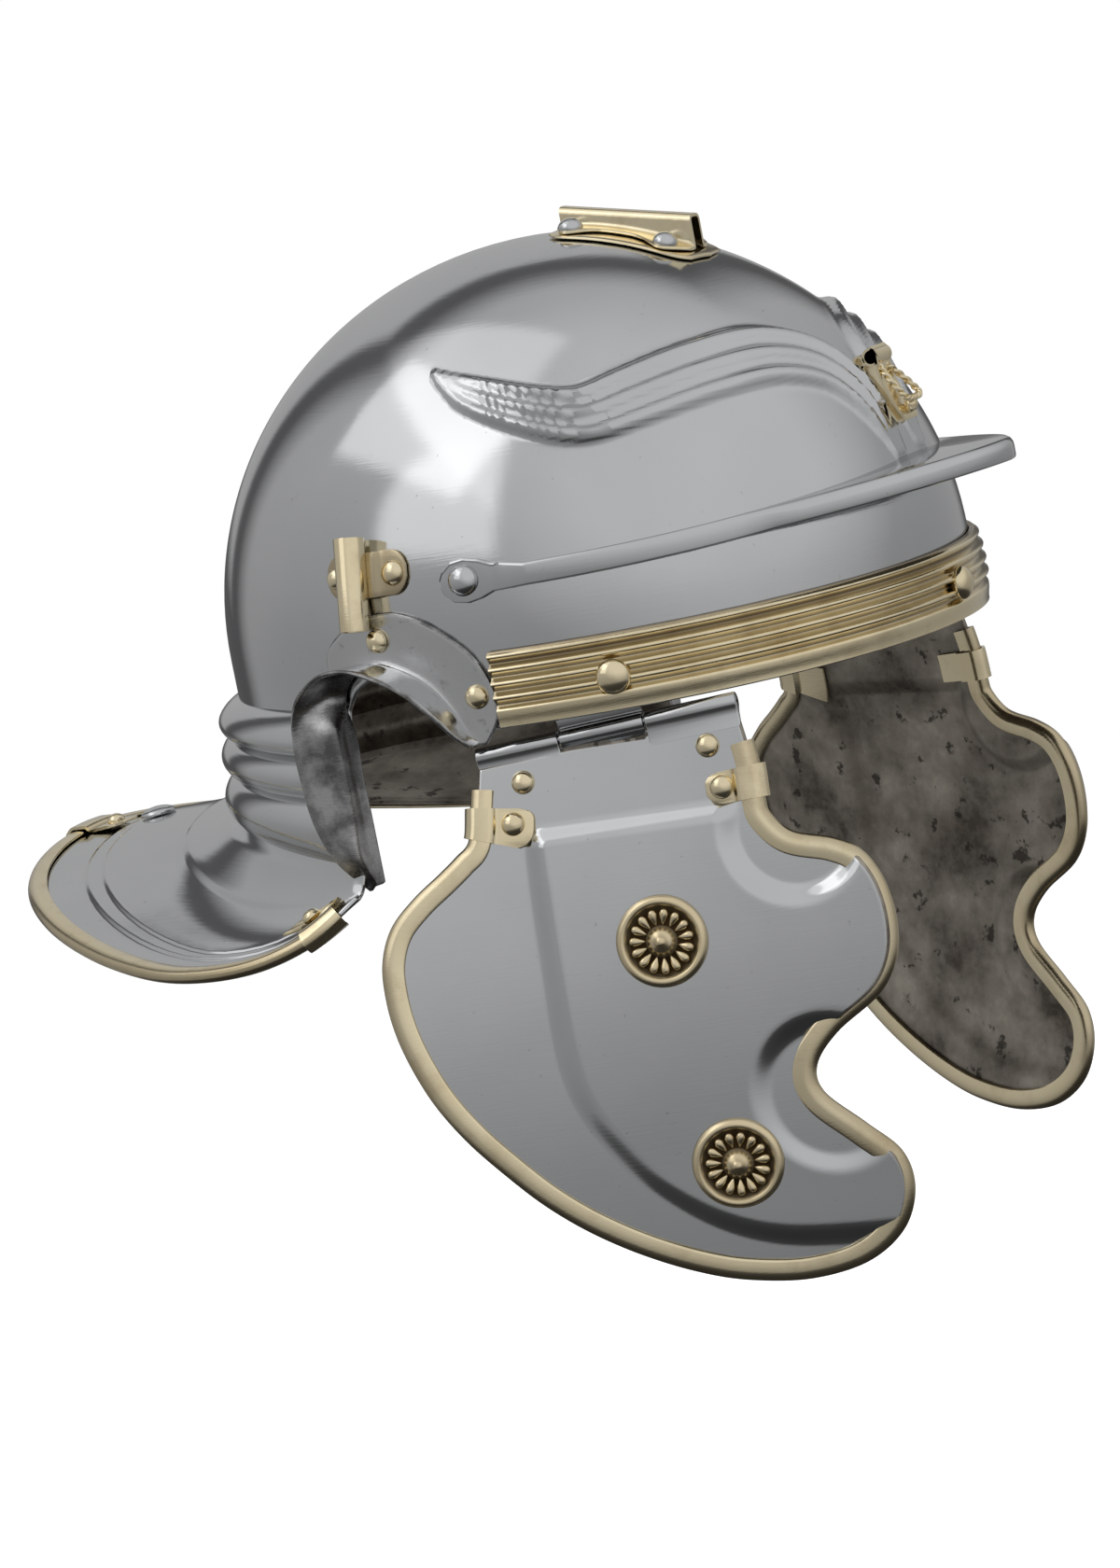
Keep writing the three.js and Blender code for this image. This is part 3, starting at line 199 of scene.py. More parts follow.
def spline(points, at):
    """Catmull-Rom curve through the points, at shares of the way along their row"""
    points = np.asarray(points, float)
    last = len(points) - 1
    place = np.clip(np.asarray(at, float), 0, 1) * last
    low = np.minimum(place.astype(int), last - 1)
    shape = low.shape + (1,) * (points.ndim - 1)
    t = (place - low).reshape(shape)
    before, start, end, after = (points[np.clip(low + k, 0, last)] for k in (-1, 0, 1, 2))
    leave, arrive = (end - before) / 2, (after - start) / 2
    cubic = 2 * start - 2 * end + leave + arrive
    square = 3 * end - 3 * start - 2 * leave - arrive
    return cubic * t**3 + square * t**2 + leave * t + start


def rounded(corners, radius, steps=4):
    """A line of 2D corners whose inner corners are turned with short curves"""
    corners = np.asarray(corners, float)
    line = [corners[0]]
    for before, corner, after in zip(corners, corners[1:], corners[2:]):
        reach = min(radius, *(np.linalg.norm(side - corner) * 0.45 for side in (before, after)))
        start = corner + unit(before - corner) * reach
        end = corner + unit(after - corner) * reach
        for t in np.linspace(0, 1, steps + 1):
            line.append((1 - t) ** 2 * start + 2 * t * (1 - t) * corner + t * t * end)
    return np.array(line + [corners[-1]])


def directions(line, closed=False):
    """Unit vectors along a row of points"""
    if closed:
        return unit(np.roll(line, -1, axis=0) - np.roll(line, 1, axis=0))
    return unit(np.gradient(line, axis=0))


def strip(line, thickness, steps=3):
    """Closed outline of sheet metal bent along a 2D line, with rounded ends"""
    ahead = directions(line)
    aside = np.stack([-ahead[:, 1], ahead[:, 0]], -1) * thickness / 2
    turns = np.linspace(0, math.pi, steps + 2)[1:-1, None]
    far = line[-1] + np.cos(turns) * aside[-1] + np.sin(turns) * ahead[-1] * thickness / 2
    near = line[0] - np.cos(turns) * aside[0] - np.sin(turns) * ahead[0] * thickness / 2
    return np.concatenate([line + aside, far, (line - aside)[::-1], near])


# Shells: (points, faces, index of each face's finish)

def grid_faces(rows, count, wrap=False):
    index = np.arange(rows * count).reshape(rows, count)
    if wrap:
        index = np.concatenate([index, index[:, :1]], axis=1)
    corners = [index[:-1, :-1], index[1:, :-1], index[1:, 1:], index[:-1, 1:]]
    return np.stack([corner.ravel() for corner in corners], -1)


def loft(rings, closed=False):
    """A solid through closed outlines with equal numbers of points"""
    if closed:
        rings = np.concatenate([rings, rings[:1]])
    faces = grid_faces(*rings.shape[:2], wrap=True).tolist()
    points = rings.reshape(-1, 3)
    if not closed:
        sides = rings.shape[1]
        faces += [list(range(sides)), list(range(len(points) - sides, len(points)))[::-1]]
    return points, faces, [0] * len(faces)


def sweep(origin, across, up, section, closed=False):
    """A section of (across, up) points carried along frames; one section, or one a frame"""
    section = np.broadcast_to(section, (len(origin),) + np.shape(section)[-2:])
    rings = (origin[:, None] + across[:, None] * section[..., :1] + up[:, None] * section[..., 1:])
    return loft(rings, closed)


def lathe(profile, sides):
    """A profile of radii and heights turned round the Z axis"""
    turn = np.linspace(0, 2 * math.pi, sides, endpoint=False)
    radius, height = np.array(profile, float).T[..., None]
    rings = spread(radius * np.cos(turn), radius * np.sin(turn), height)
    return welded([rings], wrap=True)


def welded(grids, wrap=False):
    """Grids of points joined where they meet, without faces that shrink to a line"""
    points = np.concatenate([grid.reshape(-1, 3) for grid in grids])
    faces, start = [], 0
    for grid in grids:
        faces.append(grid_faces(*grid.shape[:2], wrap=wrap) + start)
        start += grid.shape[0] * grid.shape[1]
    _, first, merged = np.unique(np.round(points, 3), axis=0, return_index=True, return_inverse=True)
    merged = merged.reshape(-1)
    kept = []
    for face in merged[np.concatenate(faces)].tolist():
        corners = [corner for k, corner in enumerate(face) if corner != face[k - 1]]
        if len(set(corners)) > 2:
            kept.append(corners)
    return points[first], kept, [0] * len(kept)


def normals_of(points, faces):
    """Point normals from faces with three or four corners"""
    total = np.zeros_like(points)
    for size in (3, 4):
        some = np.array([face for face in faces if len(face) == size])
        if len(some) == 0:
            continue
        corners = points[some]
        lean = np.cross(corners[:, 2] - corners[:, 0], corners[:, -1] - corners[:, 1])
        for k in range(size):
            np.add.at(total, some[:, k], lean)
    return unit(total)


def thickened(shell, outward, inward, finishes=(0, 0), rim=3):
    """Sheet metal from an open surface, with a rounded rim along its borders"""
    points, faces, _ = shell
    normal = normals_of(points, faces)
    count = len(points)
    sides = {}
    for face in faces:
        for k, corner in enumerate(face):
            sides[face[k - 1], corner] = True
    border = [edge for edge in sides if edge[::-1] not in sides]
    aside = np.zeros_like(points)
    for a, b in border:
        away = np.cross(points[b] - points[a], normal[a])
        aside[a] += away
        aside[b] += away
    aside = unit(aside)
    middle = points + normal * (outward - inward) / 2
    half = (outward + inward) / 2
    layers = [middle + normal * half, middle - normal * half]
    turns = np.linspace(0, math.pi, rim + 2)[1:-1]
    edge = sorted({corner for pair in border for corner in pair})
    place = {corner: k for k, corner in enumerate(edge)}
    for turn in turns:
        swing = normal[edge] * math.cos(turn) + aside[edge] * math.sin(turn)
        layers.append(middle[edge] + swing * half)
    starts = [0] + [2 * count + k * len(edge) for k in range(rim)] + [count]
    solid = [list(face) for face in faces] + [[c + count for c in face[::-1]] for face in faces]
    marks = [finishes[0]] * len(faces) + [finishes[1]] * len(faces)
    for a, b in border:
        ladder = [[start + (c if start in (0, count) else place[c]) for c in (a, b)] for start in starts]
        for (a1, b1), (a2, b2) in zip(ladder, ladder[1:]):
            solid.append([b1, a1, a2, b2])
            marks.append(finishes[0])
    return np.concatenate(layers), solid, marks


def moved(shell, change):
    points, faces, marks = shell
    return change(points), faces, marks


def mirrored(points):
    return points * [1, -1, 1]


def on_side(side):
    return mirrored if side == "right" else lambda points: points


def piece(name, body, nodes, shells, finishes, crease=38, shade=None):
    """One Blender object from shells in millimetres, riding on its body and standing for nodes"""
    mesh = bpy.data.meshes.new(name)
    points = np.concatenate([shell[0] for shell in shells])
    faces, marks, start = [], [], 0
    for shell_points, shell_faces, shell_marks in shells:
        faces += [[corner + start for corner in face] for face in shell_faces]
        marks += list(shell_marks)
        start += len(shell_points)
    mesh.from_pydata((points * MM).tolist(), [], faces)
    for finish in finishes:
        mesh.materials.append(finish)
    mesh.polygons.foreach_set("material_index", marks)
    if shade is not None:
        # One point attribute carries both the brown patina of hollows and painted shade
        patina_and_shade_layer = mesh.attributes.new("groove", "FLOAT", "POINT")
        patina_and_shade_layer.data.foreach_set("value", np.asarray(shade, np.float32))
    shape = bmesh.new()
    shape.from_mesh(mesh)
    bmesh.ops.recalc_face_normals(shape, faces=shape.faces)
    shape.to_mesh(mesh)
    shape.free()
    mesh.shade_smooth()
    mesh.set_sharp_from_angle(angle=math.radians(crease))
    thing = bpy.data.objects.new(name, mesh)
    bpy.context.scene.collection.objects.link(thing)
    settle(thing, body, nodes)


def settle(thing, body, nodes):
    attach(thing, body)
    if nodes:
        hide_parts(*nodes)


# Node trees

class Value:
    """A node's output that adds Math nodes to its tree when Python arithmetic is done on it"""

    def __init__(self, nodes, socket):
        self.nodes = nodes
        self.socket = socket

    def math(self, operation, first, second=None):
        inputs = {0: first} if second is None else {0: first, 1: second}
        return self.nodes.add("ShaderNodeMath", {"operation": operation}, inputs)

    def __add__(self, other):
        return self.math("ADD", self, other)

    def __mul__(self, other):
        return self.math("MULTIPLY", self, other)

    __radd__ = __add__
    __rmul__ = __mul__

    def at_least(self, other):
        return self.math("MAXIMUM", self, other)

    def size(self):
        return self.math("ABSOLUTE", self)

    def clamped(self):
        return self.math("MINIMUM", self.math("MAXIMUM", self, 0), 1)


class Nodes:
    """A node tree whose nodes are all made by one method"""

    def __init__(self, tree):
        self.tree = tree

    def add(self, kind, settings=None, inputs=None, output=0):
        node = self.tree.nodes.new(kind)
        for key, value in (settings or {}).items():
            if key == "stops":
                self.set_stops(node.color_ramp.elements, value)
            else:
                setattr(node, key, value)
        for key, value in (inputs or {}).items():
            if isinstance(value, Value):
                self.tree.links.new(value.socket, node.inputs[key])
            else:
                node.inputs[key].default_value = value
        return Value(self, node.outputs[output]) if len(node.outputs) else None

    @staticmethod
    def set_stops(elements, stops):
        elements.remove(elements[-1])
        for index, (position, colour) in enumerate(stops):
            element = elements.new(position) if index else elements[0]
            element.position = position
            element.color = (*colour, 1) if np.ndim(colour) else (colour,) * 3 + (1,)

    def place(self, stretch=(1, 1, 1)):
        """Object coordinates, stretched for a pattern that runs one way"""
        inside = self.add("ShaderNodeTexCoord", output="Object")
        if stretch == (1, 1, 1):
            return inside
        return self.add("ShaderNodeMapping", {}, {"Vector": inside, "Scale": stretch})

    def noise(self, size, detail=3, stretch=(1, 1, 1), roughness=0.5):
        """Noise whose blotches are about the given size in millimetres"""
        inputs = {"Vector": self.place(stretch), "Scale": 1 / (size * MM), "Detail": detail,
                  "Roughness": roughness}
        return self.add("ShaderNodeTexNoise", {}, inputs)

    def ramp(self, value, stops):
        return self.add("ShaderNodeValToRGB", {"stops": stops}, {0: value})

    def blend(self, factor, first, second):
        """Colours mixed by a factor"""
        first, second = (c if isinstance(c, Value) else (*c, 1) for c in (first, second))
        return self.add("ShaderNodeMix", {"data_type": "RGBA"}, {0: factor, 6: first, 7: second}, output=2)

    def bump(self, height, depth, strength=1.0, under=None):
        inputs = {"Height": height, "Distance": depth * MM, "Strength": strength}
        if under:
            inputs["Normal"] = under
        return self.add("ShaderNodeBump", {}, inputs)

    def attribute(self, name):
        return self.add("ShaderNodeAttribute", {"attribute_name": name}, output="Fac")


def metal(name, make):
    """A metal finish; make returns its colour, roughness, metallic share and normal"""
    material = bpy.data.materials.new(name)
    material.use_nodes = True
    nodes = Nodes(material.node_tree)
    shader = material.node_tree.nodes["Principled BSDF"]
    for socket, value in zip(("Base Color", "Roughness", "Metallic", "Normal"), make(nodes)):
        if isinstance(value, Value):
            material.node_tree.links.new(value.socket, shader.inputs[socket])
        elif value is not None:
            shader.inputs[socket].default_value = (*value, 1) if np.ndim(value) else value
    return material


def polished_steel(nodes):
    clouds = nodes.noise(45, detail=4)
    fine = nodes.noise(7, detail=5)
    wipes = nodes.noise(14, detail=5, stretch=(1, 1, 26), roughness=0.65)
    specks = nodes.ramp(nodes.noise(2.2, detail=2), [(0.73, 0), (0.78, 1)])
    grey = nodes.blend(clouds, (0.50, 0.51, 0.52), (0.60, 0.605, 0.61))
    colour = nodes.blend(specks * 0.22, grey, (0.16, 0.155, 0.15))
    roughness = 0.03 + 0.07 * clouds + 0.03 * fine + 0.05 * wipes + 0.1 * specks
    normal = nodes.bump(wipes, 0.03, 0.5, under=nodes.bump(clouds, 0.5, 0.12))
    return colour, roughness, 1.0, normal


def hammered_steel(nodes):
    """The ear guards: polished over the marks of the hammer"""
    clouds = nodes.noise(30, detail=4)
    marks = nodes.noise(9, detail=3, stretch=(1, 1, 0.5))
    scratches = nodes.noise(5, detail=5, stretch=(1, 1, 14), roughness=0.7)
    stains = nodes.ramp(nodes.noise(6, detail=5, roughness=0.7), [(0.6, 0), (0.68, 1)])
    colour = nodes.blend(stains * 0.5, (0.56, 0.565, 0.57), (0.2, 0.195, 0.19))
    roughness = 0.05 + 0.1 * clouds + 0.06 * scratches + 0.12 * stains
    normal = nodes.bump(scratches, 0.06, 0.5, under=nodes.bump(marks, 0.8, 0.35))
    return colour, roughness, 1.0, normal


def raw_steel(nodes):
    """The inside of the sheets: dark from the forge and wiped, with stains"""
    clouds = nodes.noise(26, detail=6, roughness=0.62)
    fine = nodes.noise(4, detail=6, roughness=0.7)
    stains = nodes.ramp(nodes.noise(9, detail=6, roughness=0.66), [(0.6, 0), (0.64, 1)])
    rust = nodes.ramp(nodes.noise(20, detail=5, roughness=0.7), [(0.5, 0), (0.75, 1)])
    patches = nodes.ramp(clouds, [(0.36, 0), (0.64, 1)])
    base = nodes.blend(patches, (0.085, 0.074, 0.06), (0.46, 0.42, 0.36))
    mottled = nodes.blend(nodes.ramp(fine, [(0.4, 0), (0.6, 1)]) * 0.35, base, (0.30, 0.265, 0.225))
    warm = nodes.blend(rust * 0.3, mottled, (0.15, 0.10, 0.065))
    colour = nodes.blend(stains * 0.75, warm, (0.03, 0.026, 0.023))
    roughness = 0.30 + 0.2 * fine + 0.15 * stains + 0.1 * clouds
    normal = nodes.bump(fine, 0.12, 0.6, under=nodes.bump(clouds, 0.6, 0.4))
    return colour, roughness, 0.85, normal


def shaded_steel(nodes):
    """The inner face of the ear guards: steel that is darkened and scratched, and still shines"""
    clouds = nodes.noise(12, detail=5, roughness=0.6)
    scratches = nodes.noise(3, detail=5, stretch=(1, 1, 5), roughness=0.7)
    colour = nodes.blend(nodes.ramp(clouds, [(0.4, 0), (0.62, 1)]), (0.15, 0.15, 0.15), (0.5, 0.5, 0.5))
    roughness = 0.16 + 0.2 * scratches
    return colour, roughness, 1.0, nodes.bump(scratches, 0.15, 0.6)


def bright_brass(nodes):
    """Pale yellow brass, polished, with brown patina left in its grooves and painted shade on the edging's
    outer flank and the tube straps
    """
    clouds = nodes.noise(22, detail=4)
    scratches = nodes.noise(4, detail=4, stretch=(1, 1, 12), roughness=0.6)
    tarnish = nodes.ramp(nodes.noise(12, detail=5, roughness=0.65), [(0.5, 0), (0.75, 1)])
    groove = nodes.attribute("groove")
    base = nodes.blend(clouds, (0.74, 0.625, 0.40), (0.86, 0.765, 0.55))
    aged = nodes.blend(tarnish * 0.3, base, (0.34, 0.23, 0.11))
    # Darker towards brown where the point attribute asks: patina in grooves and hollows, painted shade on
    # edging flanks and straps
    colour = nodes.blend((groove * 0.85).clamped(), aged, (0.10, 0.062, 0.03))
    roughness = 0.07 + 0.08 * clouds + 0.05 * scratches + 0.1 * tarnish + 0.2 * groove
    return colour, roughness, 1.0, nodes.bump(scratches, 0.04, 0.5, under=nodes.bump(clouds, 0.4, 0.2))


def aged_brass(nodes):
    """The rosettes: bright on top and dark brown in every hollow"""
    clouds = nodes.noise(8, detail=5)
    groove = nodes.attribute("groove")
    base = nodes.blend(clouds, (0.62, 0.51, 0.32), (0.8, 0.69, 0.47))
    colour = nodes.blend(groove.clamped(), base, (0.045, 0.028, 0.012))
    roughness = 0.16 + 0.15 * clouds + 0.35 * groove
    return colour, roughness, 1.0, nodes.bump(clouds, 0.1, 0.4)


def pale_floor(nodes):
    colour = nodes.blend(nodes.noise(300, detail=2), (0.80, 0.80, 0.80), (0.82, 0.82, 0.82))
    return colour, 0.75, 0.0, None


POLISHED = metal("polished_steel", polished_steel)
HAMMERED = metal("hammered_steel", hammered_steel)
RAW = metal("raw_steel", raw_steel)
SHADED = metal("shaded_steel", shaded_steel)
BRIGHT = metal("bright_brass", bright_brass)
AGED = metal("aged_brass", aged_brass)


# The bowl's wall: plan angle in degrees from the front, height, distance out

def narrowing(z):
    over = np.maximum(np.asarray(z, float) - BOWL.widest, 0) / BOWL.dome
    return np.sqrt(np.clip(1 - over**2, 0, 1))


def wall(angle, z, out=0.0):
    turn = np.radians(angle)
    scale = narrowing(z)
    x = BOWL.centre_x + (BOWL.half_length * scale + out) * np.cos(turn)
    return spread(x, (BOWL.half_width * scale + out) * np.sin(turn), z)


def wall_angle(x, z):
    return np.degrees(np.arccos((x - BOWL.centre_x) / (BOWL.half_length * narrowing(z))))


def wall_at(x, z, out=0.0):
    """The wall's point on the wearer's left at the given x"""
    return wall(wall_angle(x, z), z, out)


def bowl_normal(points):
    lift = np.maximum(points[..., 2] - BOWL.widest, 0)
    return unit(spread((points[..., 0] - BOWL.centre_x) / BOWL.half_length**2,
                       points[..., 1] / BOWL.half_width**2, lift / BOWL.dome**2))


def over_dome(x, y, out=0.0):
    """The point over x and y whose distance out of the dome is as stated"""
    share = ((x - BOWL.centre_x) / BOWL.half_length) ** 2 + (y / BOWL.half_width) ** 2
    point = spread(x, y, BOWL.widest + BOWL.dome * np.sqrt(1 - share))
    point[..., 2] += out / bowl_normal(point)[..., 2]
    return point


def rim_height(angle):
    """Height of the bowl's lower edge, over the ear openings and elsewhere"""
    off = np.abs(np.where(angle > 180, angle - 360, angle))
    opening = np.interp(off, EAR_OPENING.angle, EAR_OPENING.z, left=0)
    return np.where(off >= LEG_ANGLE, NAPE_TOP, opening)


def nape_point(angle, z):
    """The nape at a plan angle and height, swelling out in its three rolls"""
    side = np.abs(angle - 180) / (180 - LEG_ANGLE)
    out = np.zeros_like(z)
    rolls = zip(ROLLS.top, ROLLS.foot, ROLLS.top_out, ROLLS.foot_out, ROLLS.swell)
    for top, foot, top_out, foot_out, swell in rolls:
        share = (top - z) / (top - foot)
        inside = (share > 0) & (share <= 1)
        bulge = np.sin(math.pi * np.clip(share, 0, 1)) ** 0.72
        out = np.where(inside, top_out + (foot_out - top_out) * share + swell * bulge, out)
    drop = np.interp(z, NAPE_SAG.z, NAPE_SAG.sag)
    low = z - drop * side**2
    tucked = np.clip((1 - side) / 0.041, 0, 1)
    flush = np.minimum(out, (NAPE_TOP - low) * 0.14)
    return wall(angle, low, flush + (out - flush) * tucked)


GUARD_CURVE = np.array(GUARD_EDGE + [(x, -y, z) for x, y, z in GUARD_EDGE[-2::-1]], float)


def guard_rim(angle):
    return spline(GUARD_CURVE, (angle - LEG_ANGLE) / (360 - 2 * LEG_ANGLE))


def guard_point(angle, share):
    """The neck guard at a plan angle and a share of its width, with its embossed steps"""
    inner = nape_point(angle, np.full_like(angle, NAPE_FOOT))
    outer = guard_rim(angle)
    width = np.linalg.norm(outer - inner, axis=-1)
    knots = GUARD_STEPS.share[:, None] * np.ones_like(width)
    held = np.maximum(knots * 0.7, 1 - GUARD_STEPS.inset[:, None] / width)
    knots = np.where(GUARD_STEPS.inset[:, None] > 0, np.minimum(knots, held), knots)
    index = np.interp(share, GUARD_STEPS.share, np.arange(len(knots)))
    low = np.minimum(index.astype(int), len(knots) - 2)
    part = index - low
    picked = np.arange(len(width))
    reach = knots[low, picked] * (1 - part) + knots[low + 1, picked] * part
    eased = part * part * (3 - 2 * part)
    step = GUARD_STEPS.step[low] * (1 - eased) + GUARD_STEPS.step[low + 1] * eased
    point = inner + (outer - inner) * reach[:, None]
    point[:, 2] = inner[:, 2] + (outer[:, 2] - inner[:, 2]) * (1 - (1 - reach) ** 2.5)
    point[:, 2] += step * smooth(width, 22, 55)
    return point


def eyebrow_height(points):
    """How far the raised eyebrows lift each point of the dome"""
    lift = np.zeros(len(points))
    line = spline(spread(EYEBROW.x, EYEBROW.y, EYEBROW.z), np.linspace(0, 1, 260))
    half = spline(EYEBROW.half, np.linspace(0, 1, 260))
    ahead = directions(line)
    across = unit(np.cross(ahead, bowl_normal(line)))
    near = np.flatnonzero((points[:, 2] > 40) & (points[:, 0] > -12))
    for sign in (1, -1):
        own = near[points[near, 1] * sign > -12]
        seen = points[own] * [1, sign, 1]
        gap = np.linalg.norm(seen[:, None] - line[None], axis=-1) / (half + 3)
        nearest = gap.argmin(axis=1)
        offset = seen - line[nearest]
        side = (offset * across[nearest]).sum(-1) / half[nearest]
        beyond = np.abs((offset * ahead[nearest]).sum(-1)) / half[nearest]
        edge = (1 - smooth(np.abs(side), 0.84, 1.1)) * (1 - smooth(beyond, 0.3, 1))
        ridge = np.cos(EYEBROW_RELIEF.ridges * math.pi * side)
        shape = smooth(half[nearest], 3, 8)
        raised = edge * (EYEBROW_RELIEF.height * (0.4 + 0.6 * shape) + EYEBROW_RELIEF.ridge * ridge * shape)
        lift[own] = np.maximum(lift[own], raised)
    return lift


NAPE_TURNS = np.linspace(LEG_ANGLE, 360 - LEG_ANGLE, 61)


def bowl():
    coarse, fine = np.linspace(-LEG_ANGLE, LEG_ANGLE, 179), np.linspace(-92, 92, 263)
    front = np.unique(np.concatenate([coarse, fine]))
    front = front[np.concatenate([[True], np.diff(front) > 0.3])]
    front[-1] = LEG_ANGLE
    around = np.concatenate([front, NAPE_TURNS[1:]])
    tilts = np.radians(np.concatenate([
        np.linspace(0, 20, 8), np.linspace(20, 78, 90)[1:], np.linspace(78, 90, 6)[1:]]))
    heights = BOWL.widest + BOWL.dome * np.cos(tilts)[:, None]
    dome = wall(around[None], np.broadcast_to(heights, (len(tilts), len(around))))
    rims = rim_height(np.where(around < 0, around + 360, around))
    low = BOWL.widest + (rims - BOWL.widest) * np.linspace(0, 1, 8)[1:, None]
    dome = np.concatenate([dome, wall(around[None], low)])
    flat = dome.reshape(-1, 3)
    lift = eyebrow_height(flat)
    dome = (flat + bowl_normal(flat) * lift[:, None]).reshape(dome.shape)
    heights = np.concatenate([
        top + (foot - top) * np.linspace(0, 1, 15)[(1 if k else 0):]
        for k, (top, foot) in enumerate(zip(ROLLS.top, ROLLS.foot))])
    nape = np.stack([nape_point(NAPE_TURNS, np.full_like(NAPE_TURNS, z)) for z in heights])
    shares = np.unique(np.concatenate([
        np.linspace(a, b, 7) for a, b in zip(GUARD_STEPS.share, GUARD_STEPS.share[1:])]))
    guard = np.stack([guard_point(NAPE_TURNS, share) for share in shares])
    shell = thickened(welded([dome, nape, guard]), 0, STEEL, finishes=(0, 1))
    piece("bowl_shell", "helmet", ["bowl"], [shell], [POLISHED, RAW], crease=45)


def brow_band():
    heights = np.linspace(BAND.height, 0, 76)
    order = np.argsort(BAND_SECTION.z)
    z_rows, out_rows = BAND_SECTION.z[order], BAND_SECTION.out[order]
    low = np.clip(np.searchsorted(z_rows, heights, side="right") - 1, 0, len(z_rows) - 2)
    share = (heights - z_rows[low]) / (z_rows[low + 1] - z_rows[low])
    eased = (1 - np.cos(math.pi * share)) / 2
    out = out_rows[low] + (out_rows[low + 1] - out_rows[low]) * eased
    depth = np.maximum(0, 1 - (out - BAND.groove_floor) / BAND.groove_depth)
    outline = list(zip(out, heights, depth))
    outline += [(CLEAR, 0, 1), (CLEAR, BAND.height, 1)]
    outs, zs, groove = np.array(outline).T
    turns = np.linspace(-BAND.end_angle, BAND.end_angle, 181)
    rings = wall(turns[:, None], np.minimum(zs, BOWL.widest)[None], outs[None])
    rings[..., 2] = zs
    shade = np.tile(groove, len(turns))
    piece("ribbed_band", "helmet", ["brow_band"], [loft(rings)], [BRIGHT], shade=shade)


# The peak

def peak_rows():
    """Plan angle, height, width and lip along the peak, from tab to tab"""
    turns = np.radians(np.linspace(-PEAK.sweep, PEAK.sweep, 141))
    power = 2 / PEAK.fullness
    edge_x = PEAK.centre_x + PEAK.reach * np.abs(np.cos(turns)) ** power
    edge_y = PEAK.half_width * np.sign(turns) * np.abs(np.sin(turns)) ** power
    edge_z = PEAK.z + PEAK.rise * np.abs(np.cos(turns)) ** (2 * power)
    angles = np.degrees(np.arctan2(edge_y / BOWL.half_width, (edge_x - BOWL.centre_x) / BOWL.half_length))
    root = wall(angles, edge_z)
    width = np.hypot(edge_x - root[:, 0], edge_y - root[:, 1])
    rows = [(a, z, max(PEAK.narrowest, w), PEAK.lip) for a, z, w in zip(angles, edge_z, width)
            if abs(a) < PEAK.end_angle]
    tab_z = PEAK.z - PEAK_TAB_DROP
    tab = [(a, tab_z + h, 1.0, 2 * h) for a, h in zip(wall_angle(PEAK_TAB.x, tab_z), PEAK_TAB.half)]
    rows = [(-a, z, w, lip) for a, z, w, lip in tab[::-1]] + rows + tab
    rows = np.array(rows)
    return rows[np.argsort(rows[:, 0])]


def peak():
    """A ledge with a turned-down lip, ending each side in a twisted tab that lies on the bowl"""
    rows = peak_rows()
    fine = np.unique(np.concatenate([np.linspace(-88, 88, 261), rows[:, 0]]))
    fine = fine[(fine >= rows[0, 0]) & (fine <= rows[-1, 0])]
    top, wide, lip = (np.interp(fine, rows[:, 0], rows[:, k]) for k in (1, 2, 3))
    rings = []
    half = THIN_STEEL / 2
    for angle, z, w, drop in zip(fine, top, wide, lip):
        reach = w - half + CLEAR
        line = rounded([(CLEAR + half, -half), (reach, -half), (reach, -drop)], PEAK.bend)
        section = strip(line, THIN_STEEL)
        point = wall(angle, z, 0)
        aside = unit(bowl_normal(point) * [1, 1, 0])
        ring = point + aside * section[:, :1]
        ring[:, 2] = z + section[:, 1]
        # A narrow tab leans with the wall; the wide ledge doesn't
        lean = np.clip(1 - (w - 1) / 3, 0, 1)
        swell = BOWL.half_width * (narrowing(z) - narrowing(z + section[:, 1]))
        ring -= aside * (lean * swell)[:, None]
        rings.append(ring)
    piece("brow_peak", "helmet", ["peak"], [loft(np.array(rings))], [POLISHED])


# The ear guards

def ear_guard(side):
    """Flange on the bowl, turned out over the ear and down the opening's rear edge"""
    arch, leg = EAR_GUARD, EAR_LEG
    fold_x = arch.root_x * 0.55 + arch.rim_x * 0.45
    fold_z = arch.root_z * 0.75 + arch.rim_z * 0.25
    arch_rows = np.stack([
        wall_at(arch.edge_x, arch.edge_z, CLEAR), wall_at(arch.root_x, arch.root_z, CLEAR + 0.2),
        wall_at(fold_x, fold_z, CLEAR + arch.out * 0.4), wall_at(arch.rim_x, arch.rim_z, arch.out),
    ], axis=1)
    leg_rows = np.stack([
        wall_at(LEG_X, leg.z, 0.4), wall_at(LEG_X, leg.z, 3),
        wall_at(LEG_X - 0.2, leg.z, np.minimum(8.4, leg.out - 1)), wall_at(leg.rim_x, leg.rim_z, leg.out),
    ], axis=1)
    rows = np.concatenate([arch_rows, leg_rows])
    dense = spline(rows, np.linspace(0, 1, 110))
    dense = spline(dense.transpose(1, 0, 2), np.linspace(0, 1, 28)).transpose(1, 0, 2)
    surface = welded([dense])
    shell = moved(thickened(surface, 0, THIN_STEEL, finishes=(1, 0)), on_side(side))
    piece(f"flared_ear_guard_{side}", "helmet", [f"ear_guard_{side}"], [shell],
          [HAMMERED, SHADED])


# The plume tubes

def tube_frame():
    out = TUBE.radius + CLEAR + BRASS + 0.6
    low = wall_at(TUBE.x, TUBE.z, out)
    high = wall_at(TUBE.x + 0.5, TUBE.z + TUBE.length, out)
    return low, unit(high - low)


